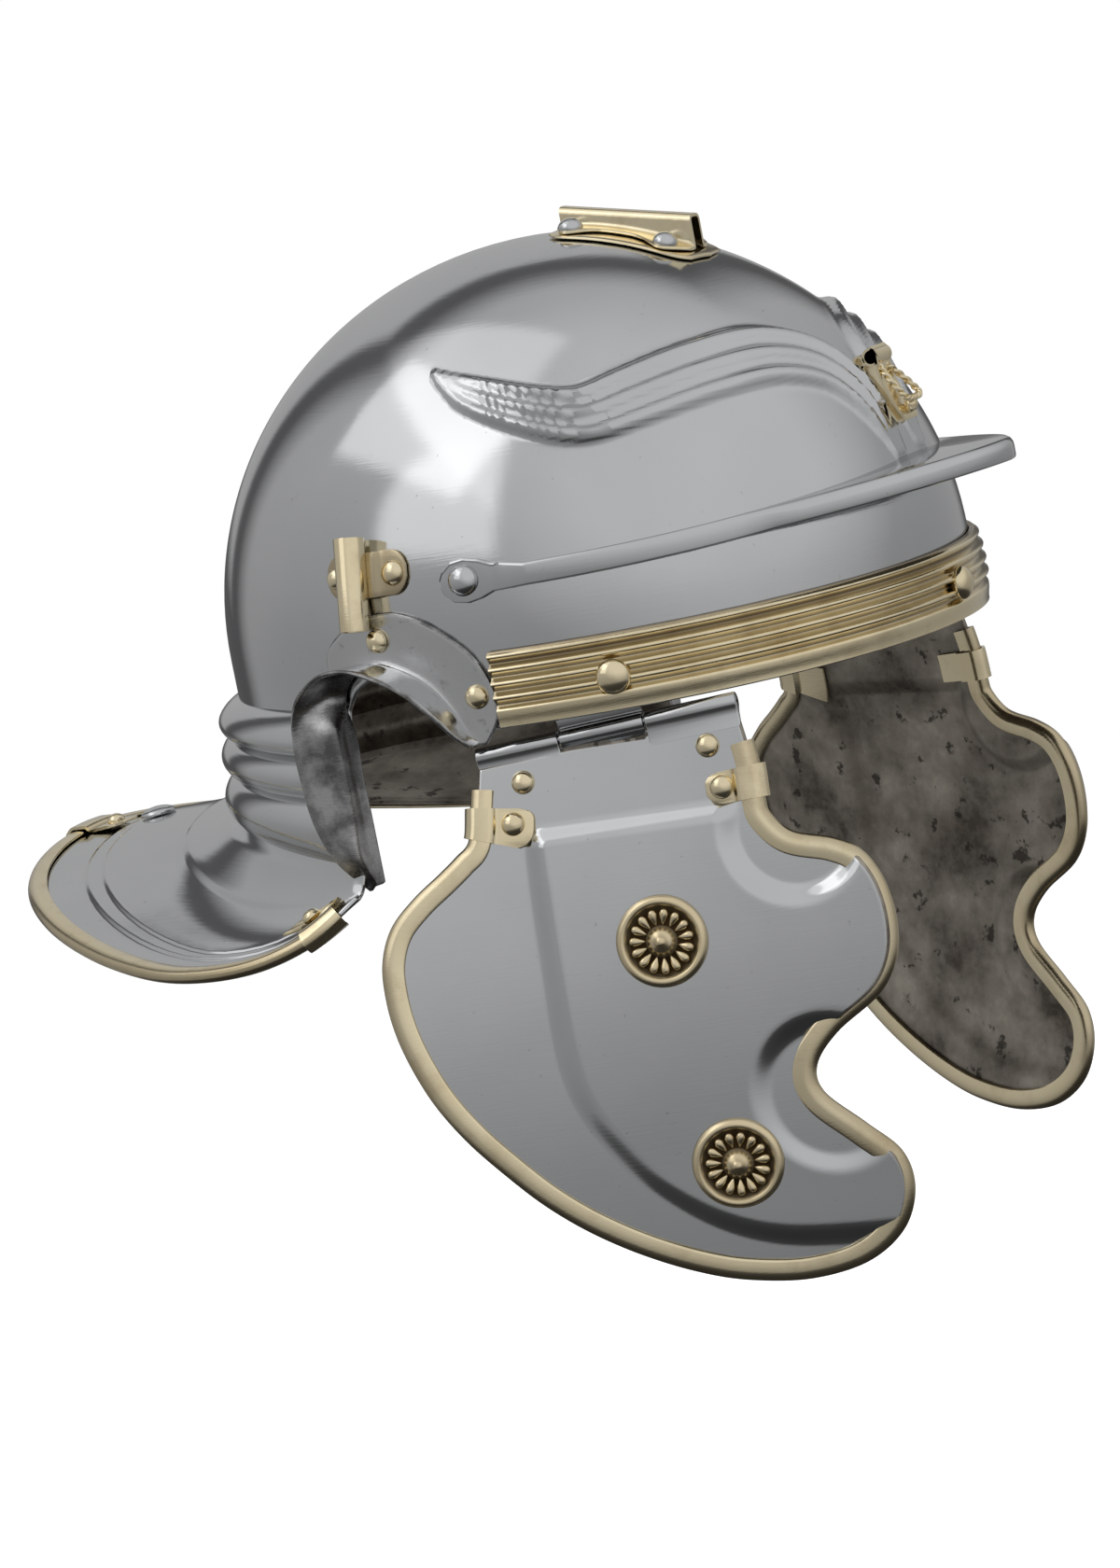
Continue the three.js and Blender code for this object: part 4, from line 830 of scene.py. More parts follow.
def plume_tube(side):
    low, axis = tube_frame()
    out = unit(bowl_normal(low) - axis * (bowl_normal(low) @ axis))
    across = np.cross(axis, out)
    turn = np.linspace(0, 2 * math.pi, 41)[:-1]
    circle = np.stack([np.cos(turn), np.sin(turn)], -1)
    wall_line = rounded([(TUBE.radius, 0), (TUBE.radius, TUBE.length), (TUBE.bore, TUBE.length),
                         (TUBE.bore, 0), (TUBE.radius, 0)], 0.3, steps=2)
    rings = []
    for radius, height in wall_line[:-1]:
        flare = radius * (1 + TUBE.flare * height / TUBE.length)
        ring = low + axis * height + (out * circle[:, :1] + across * circle[:, 1:]) * flare
        rings.append(ring)
    pipe = loft(np.array(rings), closed=True)
    middle = TUBE.z + TUBE.strap_up
    xs = np.concatenate([np.linspace(-11.5, -8, 6), np.linspace(-7, 8, 22), np.linspace(9, 15, 9)])
    past_straight = np.clip(np.abs(xs - 1.7) - 8.6, 0, None)
    half = TUBE.strap_half * np.sqrt(np.clip(1 - (past_straight / 4.9) ** 2, 0.04, 1))
    lift = 1.4 * (1 - smooth(np.abs(xs), 4, 8))
    heights = np.linspace(-1, 1, 9)
    grid = np.stack([wall_at(TUBE.x + x, middle + heights * h, CLEAR + raised)
                     for x, h, raised in zip(xs, half, lift)])
    strap = thickened(welded([grid[:, ::-1]]), BRASS, 0)
    shells = [moved(shell, on_side(side)) for shell in (pipe, strap)]
    # The strap is darkened partly as aged brass and partly as painted shade
    shade = np.concatenate([np.zeros(len(pipe[0])), np.full(len(strap[0]), 0.6)])
    piece(f"plume_socket_{side}", "helmet", [f"plume_tube_{side}"], shells, [BRIGHT], shade=shade)


# The crest holder

def crest_holder():
    """A folded channel with its feet riveted down over a plate that follows the bowl"""
    wall_at_y = CREST.slot / 2 + BRASS / 2
    shares = np.linspace(-1, 1, 81)
    foot = CREST_FOOT
    lobes = np.exp(-((shares - foot.rear) / foot.rear_width) ** 2)
    lobes += np.exp(-((shares - foot.front) / foot.front_width) ** 2)
    past_end = (np.abs(shares) - foot.end).clip(0) / (1 - foot.end)
    ends = np.sqrt(np.clip(1 - past_end**2, 0, 1))
    reach = foot.waist + (1 - foot.waist) * np.clip(lobes, 0, 1)
    reach *= foot.tip + (1 - foot.tip) * ends
    rings = []
    for share, wide in zip(shares, reach):
        x = CREST.x + share * CREST.length / 2
        top = CREST.top - BRASS / 2 - math.tan(math.radians(CREST.lean)) * (x - CREST.x)
        ys = np.array([wall_at_y + BRASS / 2 + CREST.flange * wide, wall_at_y])
        zs = over_dome(x, ys, CLEAR * 2 + BRASS * 1.5)[:, 2]
        right = [(y, z) for y, z in zip(ys, zs)] + [(wall_at_y, top)]
        left = [(-y, z) for y, z in right[::-1]]
        section = strip(rounded(right + left, 1.7), BRASS)
        rings.append(spread(x, section[:, 0], section[:, 1]))
    channel = loft(np.array(rings))
    half = CREST.length / 2 + 1
    along = np.linspace(-1, 1, 31)
    aside = np.linspace(-1, 1, 17)
    a, s = np.meshgrid(along, aside, indexing="ij")
    point = np.where(a > 0, a * (1 + 0.07 * (1 - np.abs(s))), a)
    plate = over_dome(CREST.x + point * half, s * CREST.plate_half * (1 - 0.28 * a**8), CLEAR)
    plate = thickened(welded([plate]), BRASS, 0)
    piece("crest_channel", "helmet", ["crest_holder"], [channel], [BRIGHT])
    piece("crest_base_plate", "helmet", ["crest_plate"], [plate], [BRIGHT])


def wire(points, radius, sides=10, closed=False, thickness=None):
    """A round wire along points"""
    points = np.asarray(points, float)
    ahead = directions(points, closed)
    off_line = [0.31, 0.2, 0.93]
    across = np.cross(ahead[0], off_line)
    frames = []
    for direction in ahead:
        across = unit(across - direction * (across @ direction))
        frames.append(across)
    across = np.array(frames)
    up = np.cross(ahead, across)
    turn = np.linspace(0, 2 * math.pi, sides, endpoint=False)
    ring = np.stack([np.cos(turn), np.sin(turn)], -1)
    sizes = radius if thickness is None else radius * thickness
    section = ring[None] * np.broadcast_to(sizes, len(points))[:, None, None]
    return sweep(points, across, up, section, closed)


def rolled_eye(eye, turn):
    x, z, wide, high = eye
    return np.stack([x + wide * np.cos(turn), z + high * np.sin(turn)], -1)


def front_hook():
    """A brass strip folded on itself, an eye at each end, and a wire ring with a drop in one"""
    turn = np.linspace(-0.35, 1.72, 16) * math.pi
    small, big = rolled_eye(HOOK.rear_eye, turn), rolled_eye(HOOK.front_eye, 0.2 - turn)
    line = np.array([*small, HOOK.neck, *HOOK.foot, *big[::-1]])
    outline = strip(spline(line, np.linspace(0, 1, 90)), HOOK.sheet)
    across = np.linspace(-HOOK.half_width, HOOK.half_width, 7)
    band = loft(np.stack([spread(outline[:, 0], y, outline[:, 1]) for y in across]))
    path = spline(HOOK_RING, np.linspace(0, 1, 121))[:-1]
    ahead = directions(path, closed=True)
    side = unit(np.cross(ahead, bowl_normal(over_dome(98.0, 0.0))))
    lift = np.cross(side, ahead)
    wind = np.linspace(0, 2 * math.pi * HOOK_STRAND.turns, len(path), endpoint=False)[:, None]
    strands = []
    for phase in (0, math.pi):
        coil = HOOK_STRAND.off * (side * np.cos(wind + phase) + lift * np.sin(wind + phase))
        strands.append(wire(path + coil, HOOK_STRAND.radius, sides=8, closed=True))
    drop = np.linspace(HOOK_DROP.top, HOOK_DROP.foot, 14)
    rise = np.sin(np.linspace(0.12, 1, 14) * math.pi * 0.97) ** 0.8
    bead = wire(drop, 1.0, sides=14, thickness=rise * HOOK_DROP.swell + HOOK_DROP.neck)
    piece("brow_hook", "helmet", ["front_hook"], [band, *strands, bead], [BRIGHT])


# Edging of the neck guard

EDGE_LINE = [(-3.7, 1.5), (-2.2, 1.78), (-0.5, 1.86), (1.0, 1.45), (1.72, 0.75), (1.9, 0)]


def edge_section(depth):
    line = np.array(EDGE_LINE)
    line[0, 0] = -depth
    line = np.concatenate([line, line[-2::-1] * [1, -1]])
    return strip(spline(line, np.linspace(0, 1, 31)), EDGING.wall)


def guard_frames(angles):
    """Where the edging's section lies along the neck guard's rim, with its two directions"""
    edge = guard_rim(angles)
    inner = guard_point(angles, 0.9)
    nudge = 0.2
    ahead = unit(guard_rim(angles + nudge) - guard_rim(angles - nudge))
    up = unit(np.cross(edge - inner, ahead))
    across = unit(np.cross(ahead, up))
    return edge - up * STEEL / 2 + across * CLEAR, across, up


def clip_rings(frames, tab, recede):
    """A strap folded round an edging, its tab rounded towards the end"""
    low = STEEL / 2 + CLEAR + BRASS / 2
    back = [(-5.2, -low), (-tab, -low)]
    sections = [strip(np.concatenate([clip_line(tab - short, low), back]), BRASS) for short in recede]
    return sweep(*frames, np.array(sections))


def edge_shade(section, count):
    """Painted shade that makes the outer flank of the edging darker than its flat top"""
    return np.tile(0.42 * smooth(section[:, 0], -0.6, 1.6), count)


def tab_rounding(count, radius):
    share = np.abs(np.linspace(-1, 1, count))
    return radius * (1 - np.sqrt(1 - np.clip((share - 0.25) / 0.75, 0, 1) ** 2 * 0.96))


def neck_trim():
    frames = guard_frames(np.linspace(111, 249, 221))
    section = edge_section(3.6)
    piece("guard_edging", "helmet", ["neck_edging"], [sweep(*frames, section)], [BRIGHT],
          shade=edge_shade(section, len(frames[0])))
    low = STEEL / 2 + CLEAR + BRASS / 2
    for name, clip in NECK_CLIPS.items():
        angles = np.linspace(clip.middle - clip.half, clip.middle + clip.half, 17)
        rings = []
        for angle, short in zip(angles, tab_rounding(17, 4.5)):
            outline = strip(clip_line(clip.tab - short, low, CLIP_LIFT), BRASS)
            rings.append(on_guard(angle, clip.lean, outline[:, 0], outline[:, 1]))
        piece(f"guard_clip_{name}", "helmet", [f"neck_clip_{name}"], [loft(np.array(rings))],
              [BRIGHT])


def clip_line(tab, low, lift=0.0):
    """Bends of a strap that is folded round an edging, from the tip of its tab to its back"""
    high = EDGING.nose + CLEAR + BRASS / 2
    return rounded([(-tab, low + lift), (-CLIP_FOLD - 0.4, low), (-4.3, high), (1, high),
                    (high + 0.2, 0.9), (high + 0.2, -0.9), (1, -high), (-4.3, -high)], 0.9, steps=3)


def on_guard(angle, lean, out, up):
    """Points at a place of the guard's edge, each so far out of it and up from the sheet's middle;
    beyond the fold they follow the sheet, leaning along the edge"""
    beyond = np.maximum(0, -out - CLIP_FOLD)
    at = angle + lean * beyond
    origin, across, lift = guard_frames(at)
    flat = origin + across * out[:, None] + lift * up[:, None]
    width = np.linalg.norm(guard_rim(at) - nape_point(at, np.full_like(at, NAPE_FOOT)), axis=-1)
    share = np.clip(1 + out / width, 0, 1)
    sheet = np.array([guard_point(at[k:k + 1], share[k])[0] for k in range(len(at))])
    sheet += lift * (up[:, None] - STEEL / 2)
    return np.where(beyond[:, None] > 0, sheet, flat)


# Cheek pieces, in the hinge's own frame: X along the pin to the front, Y out, Z up

def bow(u, v):
    """How far a cheek piece bows inwards at a place along its width and down its length"""
    deep = CHEEK_BOW.depth * (1 - np.exp(-v / CHEEK_BOW.depth))
    return -CHEEK_BOW.curl * v * v - CHEEK_BOW.twist * u * deep


PANEL_LINE = spline(np.stack([PANEL_EDGE.u, PANEL_EDGE.v], -1), np.linspace(0, 1, 160))
PANEL_INWARD = unit(np.gradient(PANEL_LINE, axis=0))[:, ::-1] * [1, -1]


def panel_height(u, v):
    """Height of the raised panel, by the distance from the line that bounds it"""
    half = PANEL.step / 2
    u, v = np.broadcast_arrays(np.asarray(u, float), np.asarray(v, float))
    place = np.stack([u, v], -1)
    nearest = np.linalg.norm(place[..., None, :] - PANEL_LINE, axis=-1).argmin(-1)
    gap = ((place - PANEL_LINE[nearest]) * PANEL_INWARD[nearest]).sum(-1)
    inside = smooth(gap, -half, half)
    inside = inside * smooth(v, PANEL.top - half, PANEL.top + half)
    for centre_u, centre_v, radius in (PANEL.upper, PANEL.lower):
        inside = inside * smooth(np.hypot(u - centre_u, v - centre_v), radius - half, radius + half)
    return PANEL.height * inside * (1 - 0.45 * smooth(v, 60, 130))


def cheek_point(u, v, out=0.0, raised=True):
    tilt = math.radians(HINGE.tilt)
    y = bow(u, v) + out + (panel_height(u, v) if raised else 0)
    return spread(u * math.cos(tilt) - v * math.sin(tilt), y, -v * math.cos(tilt) - u * math.sin(tilt))


def cheek_normal(u, v):
    along = cheek_point(u + 1, v, raised=False) - cheek_point(u - 1, v, raised=False)
    down = cheek_point(u, v + 1, raised=False) - cheek_point(u, v - 1, raised=False)
    return unit(np.cross(along, down))


REAR = np.stack([CHEEK_ROWS.rear_u, CHEEK_ROWS.rear_v], -1)
FRONT = np.stack([CHEEK_ROWS.front_u, CHEEK_ROWS.front_v], -1)[-2::-1]
OUTLINE = np.concatenate([REAR, FRONT])
LAST_ROW = len(CHEEK_ROWS.rear_u) - 1


def outline_at(at, inset):
    """A cheek piece's outline moved inwards, and its direction, at a share of the way round"""
    point = spline(OUTLINE, at)
    step = 1e-4
    ahead = unit(spline(OUTLINE, np.clip(at + step, 0, 1)) - spline(OUTLINE, np.clip(at - step, 0, 1)))
    return point + np.stack([ahead[..., 1], -ahead[..., 0]], -1) * inset, ahead


def hung(side, swing):
    """Takes points from the hinge's frame to that side of the helmet, swung outwards"""
    turn = (Matrix.Rotation(math.radians(-HINGE.toe_in), 3, "Z")
            @ Matrix.Rotation(math.radians(-HINGE.tilt), 3, "Y")
            @ Matrix.Rotation(math.radians(swing), 3, "X"))
    turn = np.array(turn)

    def place(points):
        return on_side(side)(points @ turn.T + [HINGE.x, HINGE.y, HINGE.z])
    return place


def knuckle(span, tail):
    """The sheet rolled round the pin, running into the plate below"""
    turn = np.radians(np.linspace(-38, 218, 33))
    roll = np.stack([HINGE.roll * np.cos(turn), HINGE.roll * np.sin(turn)], -1)
    half = STEEL / 2
    neck = [(half + 0.45, -2.6), (half + 0.1, -3.6), (half, -tail)]
    outline = np.array([(-half, -tail), (half, -tail), *neck[1::-1], *roll,
                        *[(-y, z) for y, z in neck[:2]]])
    start, end = span
    places = np.array([start, start + 0.12, start + 0.45, end - 0.45, end - 0.12, end])
    shrink = np.array([0.86, 0.95, 1, 1, 0.95, 0.86])
    rings = [spread(x, outline[:, 0] * s, outline[:, 1] * s) for x, s in zip(places, shrink)]
    return loft(np.array(rings))


def cheek_plate():
    """The sheet of a cheek piece, notched for the middle knuckle"""
    rows = np.linspace(0, 1, 201)
    rear, _ = outline_at(rows / 2, EDGING.nose)
    front, _ = outline_at(1 - rows / 2, EDGING.nose)
    share = np.linspace(0, 1, 151)[None, :, None]
    flat = rear[:, None] + (front - rear)[:, None] * share
    start, end = KNUCKLES["middle"]
    notch = (flat[..., 0] > start - 0.3) & (flat[..., 0] < end + 0.3)
    flat[..., 1] = np.where(notch, np.maximum(flat[..., 1], NOTCH_DEPTH), flat[..., 1])
    return thickened(welded([cheek_point(flat[..., 0], flat[..., 1])]), STEEL / 2, STEEL / 2, (1, 0))


def cheek_frames(stations):
    """Where the edging's section lies along a cheek piece's outline, with its two directions"""
    at = np.asarray(stations, float) / (2 * LAST_ROW)
    place, ahead = outline_at(at, EDGING.nose - CLEAR)
    origin = cheek_point(place[:, 0], place[:, 1], raised=False)
    up = cheek_normal(place[:, 0], place[:, 1])
    beyond = place + ahead
    along = unit(cheek_point(beyond[:, 0], beyond[:, 1], raised=False) - origin)
    return origin, unit(np.cross(up, along)), up


def cheek(side):
    body = f"{side}_cheek_piece"
    place = hung(side, SWING[side])
    tail = HINGE.roll + 4.5
    plate = [cheek_plate(), knuckle(KNUCKLES["rear"], tail), knuckle(KNUCKLES["front"], tail)]
    piece(f"cheek_plate_{side}", body, [f"cheek_{side}"], [moved(s, place) for s in plate],
          [POLISHED, RAW], crease=50)
    ends = 0.6
    stations = np.linspace(ends, 2 * LAST_ROW - ends, 301)
    section = edge_section(EDGING.width)
    trim = moved(sweep(*cheek_frames(stations), section), place)
    piece(f"cheek_trim_{side}", body, [f"cheek_edging_{side}"], [trim], [BRIGHT],
          shade=edge_shade(section, len(stations)))
    for label, (start, end, tab, _) in CHEEK_CLIPS.items():
        rings = clip_rings(cheek_frames(np.linspace(start, end, 15)), tab, tab_rounding(15, 4.5))
        piece(f"trim_clip_{label}_{side}", body, [f"cheek_clip_{label}_{side}"],
              [moved(rings, place)], [BRIGHT])


def hinge_leaf(side):
    """The bowl's half of the hinge: a roll on the pin and a tongue up inside the bowl"""
    start, end = KNUCKLES["middle"]
    line = spline([(-1.9, 0.8), (-0.9, 3), (-0.2, 8), (-0.2, 18)], np.linspace(0, 1, 16))
    outline = strip(line, 1.2)
    tongue = loft(np.stack([spread(x, outline[:, 0], outline[:, 1]) for x in np.linspace(start, end, 5)]))
    roll = knuckle((start, end), HINGE.roll + 0.4)
    shells = [moved(shell, hung(side, 0)) for shell in (roll, tongue)]
    piece(f"hinge_tongue_{side}", "helmet", [f"hinge_leaf_{side}"], shells, [POLISHED])


# Rivets and rosettes, made by Geometry Nodes

def node_group(name, sockets):
    """A Geometry Nodes tree with the named inputs, each (kind, name, default)"""
    tree = bpy.data.node_groups.new(name, "GeometryNodeTree")
    tree.interface.new_socket("Geometry", in_out="OUTPUT", socket_type="NodeSocketGeometry")
    tree.interface.new_socket("Geometry", in_out="INPUT", socket_type="NodeSocketGeometry")
    for kind, label, default in sockets:
        socket = tree.interface.new_socket(label, in_out="INPUT", socket_type=f"NodeSocket{kind}")
        if default is not None:
            socket.default_value = default
    nodes = Nodes(tree)
    start = tree.nodes.new("NodeGroupInput")
    inputs = {socket.name: Value(nodes, socket) for socket in start.outputs if socket.name}
    return tree, nodes, inputs


def position_of(nodes):
    spot = nodes.add("GeometryNodeInputPosition")
    split = nodes.add("ShaderNodeSeparateXYZ", {}, {0: spot})
    return spot, [Value(nodes, split.socket.node.outputs[k]) for k in range(3)]


def seed_value(nodes, name, kind="FLOAT"):
    return nodes.add("GeometryNodeInputNamedAttribute", {"data_type": kind}, {"Name": name})


def turned_to(nodes, axis, vector):
    return nodes.add("FunctionNodeAlignRotationToVector", {"axis": axis}, {"Vector": vector})


def finish_tree(nodes, geometry, material):
    real = nodes.add("GeometryNodeRealizeInstances", {}, {"Geometry": geometry})
    smoothed = nodes.add("GeometryNodeSetShadeSmooth", {}, {"Geometry": real})
    coloured = nodes.add("GeometryNodeSetMaterial", {}, {"Geometry": smoothed, "Material": material})
    end = nodes.tree.nodes.new("NodeGroupOutput")
    nodes.tree.links.new(coloured.socket, end.inputs[0])


def grown(name, seeds, tree, values):
    """The plain mesh that a tree makes from seed points, as a new object"""
    mesh = bpy.data.meshes.new(name)
    mesh.from_pydata((seeds["points"] * MM).tolist(), [], [])
    for key, data in seeds.items():
        if key == "points":
            continue
        kind = "FLOAT_VECTOR" if np.ndim(data) == 2 else "FLOAT"
        layer = mesh.attributes.new(key, kind, "POINT")
        field = "vector" if kind == "FLOAT_VECTOR" else "value"
        layer.data.foreach_set(field, np.asarray(data, np.float32).ravel())
    source = bpy.data.objects.new(name, mesh)
    bpy.context.scene.collection.objects.link(source)
    modifier = source.modifiers.new("grow", "NODES")
    modifier.node_group = tree
    for item in tree.interface.items_tree:
        if item.in_out == "INPUT" and item.name in values:
            modifier[item.identifier] = values[item.name]
    seen = source.evaluated_get(bpy.context.evaluated_depsgraph_get())
    made = bpy.data.meshes.new_from_object(seen)
    source.modifiers.remove(modifier)
    source.data = made
    made.name = name
    made.materials.clear()
    made.materials.append(values["Finish"])
    return source


def rivet_tree():
    """Domed heads on the seed points, turned to their facing, with their own radius and rise"""
    tree, nodes, given = node_group("rivet_heads", [
        ("Int", "Sides", 28), ("Float", "Foot", 0.12), ("Material", "Finish", None)])
    ball = nodes.add("GeometryNodeMeshUVSphere", {}, {
        "Segments": given["Sides"], "Rings": 14, "Radius": 1.0})
    _, (x, y, z) = position_of(nodes)
    crown = z.at_least(given["Foot"] * -1.0)
    shaped = nodes.add("ShaderNodeCombineXYZ", {}, {0: x, 1: y, 2: crown})
    head = nodes.add("GeometryNodeSetPosition", {}, {"Geometry": ball, "Position": shaped})
    radius, rise = seed_value(nodes, "radius"), seed_value(nodes, "rise")
    turned = turned_to(nodes, "Z", seed_value(nodes, "facing", "FLOAT_VECTOR"))
    size = nodes.add("ShaderNodeCombineXYZ", {}, {0: radius, 1: radius, 2: rise})
    heads = nodes.add("GeometryNodeInstanceOnPoints", {}, {
        "Points": given["Geometry"], "Instance": head, "Rotation": turned, "Scale": size})
    finish_tree(nodes, heads, given["Finish"])
    return tree


def petal_tree():
    """Teardrop petals in a ring round each seed point, with a boss in the middle"""
    tree, nodes, given = node_group("rosette_petals", [
        ("Int", "Petals", 15), ("Float", "Ring", 0.0066), ("Float", "Length", 0.0024),
        ("Float", "Width", 0.00185), ("Material", "Finish", None)])
    ring = nodes.add("GeometryNodeMeshCircle", {}, {"Vertices": given["Petals"], "Radius": given["Ring"]})
    ball = nodes.add("GeometryNodeMeshUVSphere", {}, {"Segments": 16, "Rings": 10, "Radius": 1.0})
    spot, (x, y, z) = position_of(nodes)
    taper = 0.62 + x * 0.42
    drop = nodes.add("ShaderNodeCombineXYZ", {}, {
        0: x * given["Length"], 1: y * taper * given["Width"], 2: z * taper * given["Width"]})
    petal = nodes.add("GeometryNodeSetPosition", {}, {"Geometry": ball, "Position": drop})
    petals = nodes.add("GeometryNodeInstanceOnPoints", {}, {
        "Points": ring, "Instance": petal, "Rotation": turned_to(nodes, "X", spot)})
    turned = turned_to(nodes, "Z", seed_value(nodes, "facing", "FLOAT_VECTOR"))
    flowers = nodes.add("GeometryNodeInstanceOnPoints", {}, {
        "Points": given["Geometry"], "Instance": petals, "Rotation": turned})
    finish_tree(nodes, flowers, given["Finish"])
    return tree


RIVET_TREE = rivet_tree()
PETAL_TREE = petal_tree()


def rivets(name, body, finish, heads):
    """One piece for a body's rivet heads; heads maps a node to (point, normal, radius, rise)"""
    points, facing, radius, rise = (np.array(column, float) for column in zip(*heads.values()))
    seeds = {"points": points, "facing": facing, "radius": radius * MM, "rise": rise * MM}
    thing = grown(name, seeds, RIVET_TREE, {"Finish": finish})
    settle(thing, body, list(heads))


def on_wall(x, z, out, side):
    point = wall_at(x, z, out)
    return on_side(side)(point), on_side(side)(bowl_normal(point))


def helmet_rivets():
    steel, brass = {}, {}
    crest_y = CREST.slot / 2 + BRASS + CREST.flange * 0.52
    for side in ("left", "right"):
        for heads, table in ((steel, STEEL_HEADS), (brass, BRASS_HEADS)):
            for node, x, z, out, radius, rise in table:
                heads[f"{node}_{side}"] = (*on_wall(x, z, out, side), radius, rise)
        for label, share in (("rear", -0.74), ("front", 0.68)):
            point = over_dome(CREST.x + share * CREST.length / 2, np.array(crest_y), CLEAR * 2 + BRASS * 2)
            facing = on_side(side)(bowl_normal(point))
            steel[f"crest_rivet_{label}_{side}"] = (on_side(side)(point), facing, 3.6, 2.8)
    brass["band_rivet_front"] = (wall(0, 10, 3.5), np.array([1, 0, 0]), 4.8, 3)
    for name, clip in NECK_CLIPS.items():
        top = np.array([STEEL / 2 + CLEAR + BRASS + CLIP_LIFT * 0.8])
        point = on_guard(np.array([clip.middle]), clip.lean, np.array([-clip.rivet]), top)[0]
        up = guard_frames(np.array([clip.middle]))[2][0]
        brass[f"neck_rivet_{name}"] = (point, up, 2.8, 2.2)
    inner, outer = (guard_point(np.array([180.0]), share)[0] for share in (0.45, 0.6))
    up = unit(np.cross([0, 1, 0], outer - inner))
    steel["neck_stud"] = (outer * [0, 0, 1] + [-163.2, 0, 0.2], up, 5.5, 2.2)
    rivets("steel_rivets", "helmet", POLISHED, steel)
    rivets("brass_rivets", "helmet", BRIGHT, brass)


def cheek_rivets(side):
    place = hung(side, SWING[side])
    origin_of = place(np.zeros((1, 3)))[0]

    def facing(vector):
        return place(np.asarray(vector)[None])[0] - origin_of

    heads = {}
    for label, (u, v) in LEAF_RIVETS.items():
        normal = cheek_normal(u, v)
        point = cheek_point(u, v) + normal * STEEL / 2
        heads[f"{label}_{side}"] = (place(point[None])[0], facing(normal), 3.3, 2.5)
    for label, (start, end, _, rivet) in CHEEK_CLIPS.items():
        origin, across, up = (part[0] for part in cheek_frames([(start + end) / 2]))
        point = origin - across * rivet + up * (STEEL / 2 + CLEAR + BRASS)
        heads[f"clip_rivet_{label}_{side}"] = (place(point[None])[0], facing(up), 3.3, 2.5)
    rivets(f"cheek_rivets_{side}", f"{side}_cheek_piece", BRIGHT, heads)
    rosettes(side, place, facing)


def rosettes(side, place, facing):
    body = f"{side}_cheek_piece"
    profile = np.stack([ROSETTE_DISH.radius, ROSETTE_DISH.height], -1)
    for label, (u, v) in ROSETTES.items():
        normal = cheek_normal(u, v)
        base = cheek_point(u, v) + normal * (STEEL / 2 + 0.1)
        across = unit(np.cross(normal, [0, 0, 1.0]))
        up = np.cross(normal, across)
        turn = np.stack([across, up, normal])
        shell = lathe(profile, ROSETTE_SIDES)
        x, y, height = shell[0].T
        seen = np.stack([np.hypot(x, y), height], -1)
        nearest = ((seen[:, None] - profile) ** 2).sum(-1).argmin(axis=1)
        shade = ROSETTE_DISH.groove[nearest]
        shell = moved(shell, lambda points: place(points @ turn + base))
        seeds = {"points": place((base + normal * 0.6)[None]), "facing": facing(normal)[None]}
        flower = grown(f"petals_{label}_{side}", seeds, PETAL_TREE, {"Finish": AGED})
        settle(flower, body, [])
        piece(f"flower_boss_{label}_{side}", body, [f"rosette_{label}_{side}"], [shell], [AGED],
              shade=shade, crease=60)


# The helmet

bowl()
brow_band()
peak()
crest_holder()
front_hook()
neck_trim()
for side in ("left", "right"):
    ear_guard(side)
    plume_tube(side)
    hinge_leaf(side)
    cheek(side)
    cheek_rivets(side)
    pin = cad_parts[f"hinge_pin_{side}"]
    pin.data.materials.clear()
    pin.data.materials.append(POLISHED)
helmet_rivets()


# Studio: camera, lights, floor and surroundings

CAMERA = Sizes(place=(0.636033, -1.135257, 0.172126), lens=104.06,
               right=(0.86446, 0.46559, -0.18957), up=(0.08955, 0.22844, 0.96943))


def camera():
    data = bpy.data.cameras.new("camera")
    data.lens = CAMERA.lens
    data.clip_end = 30
    thing = bpy.data.objects.new("camera", data)
    right, up = Vector(CAMERA.right).normalized(), Vector(CAMERA.up).normalized()
    back = right.cross(up)
    turn = Matrix((right, up, back)).transposed().to_4x4()
    thing.matrix_world = Matrix.Translation(CAMERA.place) @ turn
    bpy.context.scene.collection.objects.link(thing)
    bpy.context.scene.camera = thing


def softbox(name, place, size, power, aim=(0, 0, 0)):
    data = bpy.data.lights.new(name, "AREA")
    data.shape = "RECTANGLE"
    data.size, data.size_y = size
    data.energy = power
    thing = bpy.data.objects.new(name, data)
    thing.location = place
    thing.rotation_euler = (Vector(aim) - Vector(place)).to_track_quat("-Z", "Y").to_euler()
    bpy.context.scene.collection.objects.link(thing)


def floor():
    """A pale disc well below the hanging cheek pieces"""
    sides = np.linspace(0, 2 * math.pi, 97)[:-1]
    mesh = bpy.data.meshes.new("floor")
    ring = spread(FLOOR.radius * np.cos(sides), FLOOR.radius * np.sin(sides), FLOOR.height)
    mesh.from_pydata((ring * MM).tolist(), [], [list(range(len(ring)))])
    thing = bpy.data.objects.new("floor", mesh)
    bpy.context.scene.collection.objects.link(thing)
    pale = metal("pale_floor", pale_floor)
    shader = pale.node_tree.nodes["Principled BSDF"]
    shader.inputs["Emission Color"].default_value = (1, 1, 1, 1)
    shader.inputs["Emission Strength"].default_value = FLOOR.glow
    nodes = Nodes(pale.node_tree)
    away = nodes.add("ShaderNodeVectorMath", {"operation": "LENGTH"}, {0: nodes.place()}, 1)
    fade = nodes.ramp(away * 0.5, [(0.22, 1), (0.75, 0)])
    pale.node_tree.links.new(fade.socket, shader.inputs["Alpha"])
    mesh.materials.append(pale)
    thing.visible_glossy = False


